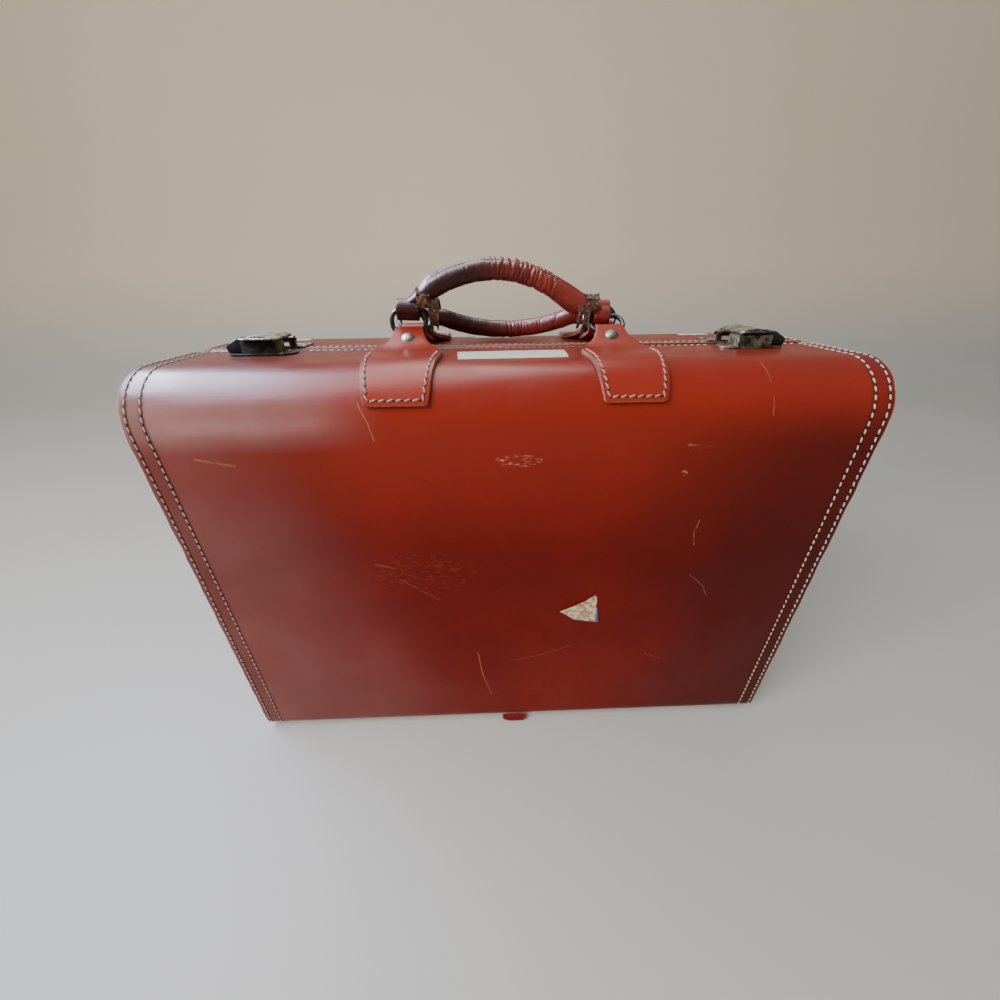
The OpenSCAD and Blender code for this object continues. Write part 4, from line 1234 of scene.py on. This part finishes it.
# %% Measure the handle ends
CAP_BORE = 4
SLEEVE_R = 8.5
SLEEVE_DEPTH = 10
SLEEVE_T = 1.1
TAIL_T = 1.3
RING_CLEAR = 2.4
NECK_ROOT = ((-5.5, 17.8, 7.0, 8.0), (-2.5, 16.1, 7.05, 8.3), (0, 14.6, 7.1, 8.5))


def neck_from(grip_end, *rows):
    """A neck that starts inside the grip, whose end is at this x, and goes on through rows."""
    return [(grip_end + dx, z, wide, high) for dx, z, wide, high in NECK_ROOT] + list(rows)


EVEN_END = {
    "cap": (TAB_X, 8.5, 6.6),
    "sleeve": Vector((65, 0, 6.8)),
    "neck": neck_from(
        50, (55, 11.9, 6.9, 7.9), (59, 10.2, 6.8, 7.2), (63, 8.8, 6.7, 6.4), (66.5, 7.7, 6.5, 5.4),
        (69.5, 6.5, 6.4, 4.3), (73, 5.2, 6.2, 3.0),
    ),
    "tails": ((59, 2.0, 0.6),),
}
STEEP_END = {
    "cap": (TAB_X, 8.5, 8),
    "sleeve": Vector((66, 0, 6.8)),
    "neck": neck_from(
        60, (63, 12.6, 7.05, 8.7), (66, 10.6, 6.95, 8.1), (69, 8.9, 6.8, 6.7), (72, 7.4, 6.5, 5.2),
        (75.5, 5.8, 6.0, 3.6), (79, 4.6, 5.0, 2.4),
    ),
    "tails": ((60.6, 1.9, 1.0), (56.4, 1.6, 0.85)),
    "twist": (76, 61),
}
LONG_END = {
    "cap": (TAB_X - 4, 6.6, 7.6),
    "sleeve": Vector((64.5, 0, 6.6)),
    "neck": neck_from(
        40, (44, 12.5, 7.1, 8.8), (48, 10.4, 7.1, 9.0), (52, 8.8, 7.0, 8.6), (56, 7.9, 6.9, 7.6),
        (60, 7.3, 6.8, 6.3), (64, 6.9, 6.6, 4.7), (68, 6.2, 6.4, 4.0), (73, 5.2, 6.0, 3.0),
    ),
    "tails": ((60, 2.4, 0.85), (55.4, 2.0, 0.6)),
    "twist": (70, 41),
}
TAIL_ROWS = (
    (0, -7.3, 8, 1.0), (0.1, -8.5, 3.5, 1.0), (0.1, -8.6, -1, 0.9), (0, -7.9, -5, 0.8), (-0.3, -6.6, -9, 0.7),
    (-0.6, -5.2, -13, 0.5), (-0.8, -4.4, -16, 0.25),
)

dry = Finish("split_hide")
frays = dry.noise(1.4, detail=5, rough=0.75, stretch=(0.5, 1, 1))
clumps = dry.noise(7, detail=3)
dry_tone = dry.stain(frays, 0.4, 0.62, tint(58, 30, 21), tint(164, 116, 82))
dry_tone = dry.stain(clumps, 0.4, 0.6, dry_tone, tint(50, 23, 17), 0.8)
split_hide = dry.shine(Base_Color=dry_tone, Roughness=0.9, Normal=dry.bump(frays, 0.9, 0.9))
print("Split hide:", split_hide.name)

# %% Roll the barrel and draw the neck
def roll_barrel(cap):
    """The rolled end loop about the ring's bar: its middle, half its length and its radius in mm."""
    middle, half, outer_r = cap
    bpy.ops.mesh.primitive_cylinder_add(
        vertices=36, radius=outer_r * MM, depth=2 * half * MM, location=(middle * MM, 0, 0),
        rotation=(0, math.pi / 2, 0),
    )
    barrel = begin("barrel")
    pick("EDGE", lambda at: abs(at.x - middle) < 0.1)
    bpy.ops.mesh.subdivide(number_cuts=7)
    pick("FACE", lambda at: abs(at.x - middle) > half - 0.1)
    bpy.ops.mesh.inset(thickness=(outer_r - CAP_BORE) * MM, use_individual=True)
    bpy.ops.mesh.bridge_edge_loops()
    close()
    round_edges(barrel, 1.1, 3, 60)
    mould(barrel, roll_spiral)
    barrel.data.materials.append(grip_hide)
    return barrel


def roll_spiral(at):
    """Let the barrel's outer turn end in a step, with shallow creases along it."""
    radius = math.hypot(at.y, at.z)
    if radius < CAP_BORE + 1:
        return at
    turn = (math.atan2(at.z, at.y) + math.pi * 0.9) % (2 * math.pi)
    step = 0.7 * (turn / (2 * math.pi) - 0.5)
    crease = 0.3 * noise.noise(Vector((at.x / 2.5, 2 * math.cos(turn), 2 * math.sin(turn))))
    size = 1 + (step + crease - 0.35) / radius
    return (at.x, at.y * size, at.z * size)


def draw_neck(path):
    """The pulled-in hide between grip and barrel: x, z, half width and half height of each step."""
    x, z, wide, high = path[0]
    bpy.ops.mesh.primitive_circle_add(
        vertices=32, radius=wide * MM, location=(x * MM, 0, z * MM), rotation=(0, math.pi / 2, 0)
    )
    neck = begin("neck")
    pick_all()
    bpy.ops.transform.resize(value=(1, 1, high / wide), center_override=Vector((x, 0, z)) * MM)
    pick("VERT", lambda at: at.z > z + 0.97 * high)
    bpy.ops.transform.translate(value=(0, 0, RIDGE * MM))
    pick_all()
    for old, new in zip(path, path[1:]):
        pull((new[0] - old[0], 0, new[1] - old[1]))
        middle = Vector((new[0], 0, new[1])) * MM
        bpy.ops.transform.resize(value=(1, new[2] / old[2], new[3] / old[3]), center_override=middle)
    pick_all()
    bpy.ops.mesh.fill_holes(sides=0)
    bpy.ops.mesh.normals_make_consistent(inside=False)
    close()
    neck.data.materials.append(grip_hide)
    return neck


print("Barrel and neck ready")

# %% Tear the wrap
def wrap_sleeve(middle, seed):
    """The split wrap: a ragged sleeve where neck and barrel meet, open below, where the ring turns down."""
    bpy.ops.mesh.primitive_cylinder_add(
        vertices=64, radius=SLEEVE_R * MM, depth=SLEEVE_DEPTH * MM, end_fill_type="NOTHING",
        location=middle * MM, rotation=(0, math.pi / 2, 0),
    )
    sleeve = begin("sleeve")
    pick("EDGE", lambda at: abs(at.x - middle.x) < 0.1)
    bpy.ops.mesh.subdivide(number_cuts=15)
    pick("FACE", lambda at: at.z < RING_CLEAR)
    bpy.ops.mesh.delete(type="FACE")
    close()

    def tear(at):
        off = at - middle
        turn = math.atan2(off.z, off.y)
        lump = noise.noise(Vector((at.x / 2.2, 3.5 * math.cos(turn), 3.5 * math.sin(turn) + seed)))
        fray = noise.noise(Vector((seed, 9 * math.cos(turn), 9 * math.sin(turn))))
        reach = 1 + 0.5 * fray
        swell = 1 + 0.2 * lump + 0.05 * fray * abs(off.x) / 3.5
        return middle + Vector((off.x * reach, off.y * swell, max(off.z * swell, RING_CLEAR - middle.z)))

    mould(sleeve, tear)
    sleeve.data.materials.append(split_hide)
    thicken(sleeve, SLEEVE_T)
    return sleeve


def hang_tail(tail, seed):
    """A torn strip that hangs from the wrap: its x, half its width and its share of the full length."""
    x, half, share = tail
    rows = [(x + dx, y, z if z > 0 else z * share, half * narrow) for dx, y, z, narrow in TAIL_ROWS]
    strip = draw_sheet("tail", rows, 5, (0, -1, 0))

    def curl(at):
        shift = noise.noise_vector(Vector((at.x / 2, seed, at.z / 3)))
        return (at.x + 0.5 * shift.x, at.y + 0.9 * shift.y, at.z + 0.8 * shift.z)

    mould(strip, curl)
    strip.data.materials.append(split_hide)
    thicken(strip, TAIL_T)
    return strip


print("Torn wrap ready")

# %% Put the ends on the rings
def make_handle_end(name, hand, shape, seed):
    """One end in the handle's own frame; hand is the sign of x."""
    parts = [roll_barrel(shape["cap"]), draw_neck(shape["neck"]), wrap_sleeve(shape["sleeve"], seed)]
    for count, tail in enumerate(shape["tails"]):
        parts.append(hang_tail(tail, seed + 7 * count))
    joined = join(parts, name)
    if hand < 0:
        joined.data.transform(Matrix.Scale(-1, 4, (1, 0, 0)))
        joined.data.flip_normals()
    smooth(joined, 45)
    return joined


END_PLACES = (
    ("front", "left", -1, FRONT_BAR, STEEP_END, 30), ("front", "right", 1, FRONT_BAR, LONG_END, 32),
    ("rear", "left", -1, REAR_BAR, EVEN_END, 35), ("rear", "right", 1, REAR_BAR, EVEN_END, 37),
)
for half, hand, end, bar, shape, seed in END_PLACES:
    piece = make_handle_end(f"{half}_loop_{hand}", end, shape, seed)
    piece.data.transform(bar)
    if "twist" in shape:
        held, free = (bar @ Vector((end * x * MM, 0, 0)) for x in shape["twist"])
        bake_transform(piece)
        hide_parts(f"{half}_handle_end_{hand}")
        print(piece.name, "twists between ring and handle")
    else:
        settle(piece, f"{half}_handle", "dark_leather", f"{half}_handle_end_{hand}")

# %% [markdown]
# ## The metalwork
# Locks, hasps and hinges are hard pieces, so their CAD shapes are right. Stamped sheet metal never has
# razor edges, though, so the parts seen from close by are copied, merged, and given a small bevel. The
# bronze is dark in its engraved ground and brighter where rubbed. The two lock cases are lit and shaded
# copies of one bronze: darker on the left as painted shade, brighter on the right as painted light.

# %% Mix the metals
def metal(name, dark, bright, size, relief, rough, shade=0.5):
    """Old metal: dark in the hollows of its ground, bright where rubbed."""
    plate = Finish(name)
    ground = plate.cells(size)
    rub = plate.noise(size * 5, detail=5, rough=0.65)
    tone = plate.stain(rub, 0.4, 0.66, dark, bright)
    tone = plate.mix(plate.ramp(ground, 0.1, 0.55, shade, 0.0), tone, tint(28, 24, 20))
    shine_map = plate.ramp(rub, 0.3, 0.7, rough + 0.16, rough - 0.06)
    surface = plate.bump(ground, relief, 0.6)
    surface = plate.bump(plate.noise(0.6, detail=3), 0.04, 0.5, surface)
    return plate.shine(Base_Color=tone, Metallic=0.9, Roughness=shine_map, Normal=surface)


# Painted light and shade: a darker bronze for the left lock case as painted shade, also the plain dark bronze
# of rivets, pins and springs; a brighter one for the right case as painted light.
dark_bronze_and_shade = metal("dark_bronze_and_shade", tint(22, 20, 17), tint(60, 56, 47), 1.5, 0.25, 0.42)
lit_bronze = metal("lit_bronze", tint(62, 57, 46), tint(150, 141, 116), 1.5, 0.25, 0.42)
hasp_bronze = metal("hasp_bronze", tint(70, 66, 55), tint(158, 152, 134), 1.3, 0.3, 0.4)
old_brass = metal("old_brass", tint(84, 81, 68), tint(142, 138, 118), 2.6, 0.08, 0.46, 0.25)
ring_steel = metal("ring_steel", tint(52, 50, 48), tint(116, 112, 106), 3.0, 0.05, 0.36, 0.3)
frame_steel = metal("frame_steel", tint(96, 96, 98), tint(150, 150, 152), 4.0, 0.04, 0.4, 0.2)
hinge_steel = metal("hinge_steel", tint(84, 80, 72), tint(146, 140, 128), 3.0, 0.05, 0.4, 0.3)

japan = Finish("black_slide")
wear = japan.noise(3, detail=5, rough=0.7)
slide_tone = japan.stain(wear, 0.6, 0.74, tint(14, 14, 14), tint(64, 60, 52))
black_slide = japan.shine(
    Base_Color=slide_tone, Roughness=japan.ramp(wear, 0.4, 0.7, 0.3, 0.5), Metallic=0.2,
    Normal=japan.bump(wear, 0.1, 0.4), Coat_Weight=0.3, Coat_Roughness=0.25,
)


def fibrous(name, size, detail, stretch, dark, pale, rough, relief):
    """Board or rope: fibres about size mm thick, stretched along one axis."""
    matter = Finish(name)
    fibre = matter.noise(size, detail=detail, stretch=stretch)
    tone = matter.stain(fibre, 0.35, 0.65, dark, pale)
    return matter.shine(Base_Color=tone, Roughness=rough, Normal=matter.bump(fibre, *relief))


BOARD_TONES = (tint(120, 96, 68), tint(160, 134, 98))
ROPE_TONES = (tint(120, 96, 66), tint(176, 150, 110))
pressed_board = fibrous("pressed_board", 1.2, 4, (1, 1, 0.3), *BOARD_TONES, 0.9, (0.2, 0.5))
rope_core = fibrous("rope_core", 1.0, 3, (0.3, 1, 1), *ROPE_TONES, 0.95, (0.5, 0.7))
print("Metals and cores mixed")

# %% Break the edges of the locks
def copy_node(node, name, finish, bevel):
    """A merged copy of a CAD piece with its sharp edges broken."""
    piece = bpy.data.objects.new(name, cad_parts[node].data.copy())
    bpy.context.collection.objects.link(piece)
    take(piece)
    bpy.ops.object.mode_set(mode="EDIT")
    pick_all()
    bpy.ops.mesh.remove_doubles(threshold=0.002 * MM)
    bpy.ops.mesh.dissolve_limited(angle_limit=math.radians(1))
    close()
    round_edges(piece, bevel, 2, 35)
    piece.data.materials.clear()
    piece.data.materials.append(finish)
    smooth(piece, 35)
    return piece


# The left case takes the shaded bronze and the right one the lit bronze.
for hand, bronze in (("left", dark_bronze_and_shade), ("right", lit_bronze)):
    case = copy_node(f"{hand}_lock", f"{hand}_lock_case", bronze, 0.35)
    settle(case, "front_half", "lock_brass", f"{hand}_lock")
    thumb = copy_node(f"{hand}_thumb_slide", f"{hand}_thumb", black_slide, 0.6)
    settle(thumb, f"{hand}_slide", "black_slide", f"{hand}_thumb_slide")
    flap = copy_node(f"{hand}_hasp", f"{hand}_hasp_cover", hasp_bronze, 0.4)
    settle(flap, f"{hand}_hasp_flap", "lock_brass", f"{hand}_hasp")
    plate = copy_node(f"{hand}_hasp_plate", f"{hand}_hasp_base", hasp_bronze, 0.3)
    settle(plate, "rear_half", "lock_brass", f"{hand}_hasp_plate")

# %% Dress the CAD pieces that stay
def dress(finish, *nodes):
    """Give CAD pieces a finish without touching their shape."""
    for name in nodes:
        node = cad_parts[name]
        if not node.material_slots:
            node.data.materials.append(finish)
        for place in node.material_slots:
            place.material = finish


dress(old_brass, "front_tab_rivets", "rear_tab_rivets", "front_studs", "rear_studs")
dress(ring_steel, "front_ring_left", "front_ring_right", "rear_ring_left", "rear_ring_right")
dress(dark_bronze_and_shade, "lock_rivets", "hasp_rivets", "hasp_pins", "left_lock_spring", "right_lock_spring")
dress(hinge_steel, "front_hinge_leaves", "rear_hinge_leaves", "hinge_pins")
dress(hinge_steel, "front_hinge_rivets", "rear_hinge_rivets")
dress(frame_steel, "front_frame", "rear_frame")
dress(pressed_board, "front_boards", "rear_boards")
dress(rope_core, "front_grip_core", "rear_grip_core")
print("CAD pieces dressed")

# %% [markdown]
# ## Paper left on the hide
# A blank strip of paper is pasted beside the seam, a few scraps lie near the rear edge, and the corner of
# an old sticker is left on the face. All are single sheets a fraction of a millimetre thick that follow what
# they stick to, with torn edges made by nudging the outer points. The last sheet is not paper: it is a tongue
# of hide that has come away at the foot.

# %% Paste the paper
white = Finish("old_paper")
fibres = white.noise(1.1, detail=4)
foxing = white.noise(9, detail=4)
paper_white = white.stain(fibres, 0.3, 0.7, tint(218, 220, 212), tint(238, 239, 234))
paper_white = white.stain(foxing, 0.55, 0.75, paper_white, tint(190, 190, 186), 0.5)
old_paper = white.shine(Base_Color=paper_white, Roughness=0.8, Normal=white.bump(fibres, 0.08, 0.5))

peeled = Finish("peeled_sticker")
skin = peeled.noise(4, detail=4)
blue_edge = peeled.ramp(peeled.axis("X"), 0.0705, 0.0725)
sticker_tone = peeled.stain(skin, 0.4, 0.62, tint(222, 206, 180), tint(178, 130, 88))
sticker_tone = peeled.mix(blue_edge, sticker_tone, tint(74, 104, 150))
peeled_sticker = peeled.shine(Base_Color=sticker_tone, Roughness=0.7, Normal=peeled.bump(skin, 0.15, 0.5))

PAPER_T = 0.15
FLAP_T = 1.2


def torn(amount, size, skew=0.0):
    """A brush that nudges points sideways, for torn edges, and may set the sheet a little askew."""
    def nudge(at):
        shift = noise.noise_vector(at / size) * amount
        return (at.x + shift.x, at.y + shift.y * 0.2 + skew * at.x, at.z + shift.z * 0.2)
    return nudge


def paste(name, rows, outward, finish, body, tear, thick=PAPER_T):
    sheet = draw_sheet(name, rows, 16, outward)
    mould(sheet, tear)
    sheet.data.materials.append(finish)
    thicken(sheet, thick)
    smooth(sheet)
    settle(sheet, body, "red_leather")


STRIP_ROWS = [(0.5, -25.5 - 3.1 * k, TOP_Z + 0.2, 41.5 - 0.2 * k) for k in range(11)]
paste("paper_strip", STRIP_ROWS, (0, 0, 1), old_paper, "front_half", torn(0.6, 6, 0.03))
FACE_PAPER = -HALF_D - 1.2
STICKER_ROWS = [
    (74.2, FACE_PAPER, 140, 0.8), (69, FACE_PAPER, 142, 5.5), (63.7, FACE_PAPER, 144, 10.7),
    (60, FACE_PAPER, 149, 13.4), (56.3, FACE_PAPER, 154, 16.3), (60.5, FACE_PAPER, 159, 10.5),
    (66, FACE_PAPER, 165, 5.0), (69.2, FACE_PAPER, 171, 0.7),
]
paste("sticker_scrap", STICKER_ROWS, (0, -1, 0), peeled_sticker, "front_half", torn(1.6, 4))
for mark, x, half in (("left", -206, 22), ("middle", -13, 17), ("right", 180, 14)):
    scrap = [(x, 52 + 2.4 * k, TOP_Z + 0.2, half - 0.4 * k) for k in range(4)]
    paste(f"paper_scrap_{mark}", scrap, (0, 0, 1), old_paper, "rear_half", torn(1.4, 5))
FLAP_ROWS = ((1, -97, 6.2, 12), (1, -99.3, 5.2, 12.6), (1.4, -101.2, 4.2, 11.5), (3, -102.6, 3.4, 7))
paste("torn_flap", FLAP_ROWS, (0, -0.4, 1), trim_hide, "front_half", torn(1.2, 4), FLAP_T)

# %% Remove the bead templates
bpy.data.objects.remove(stitch)
bpy.data.objects.remove(hole)
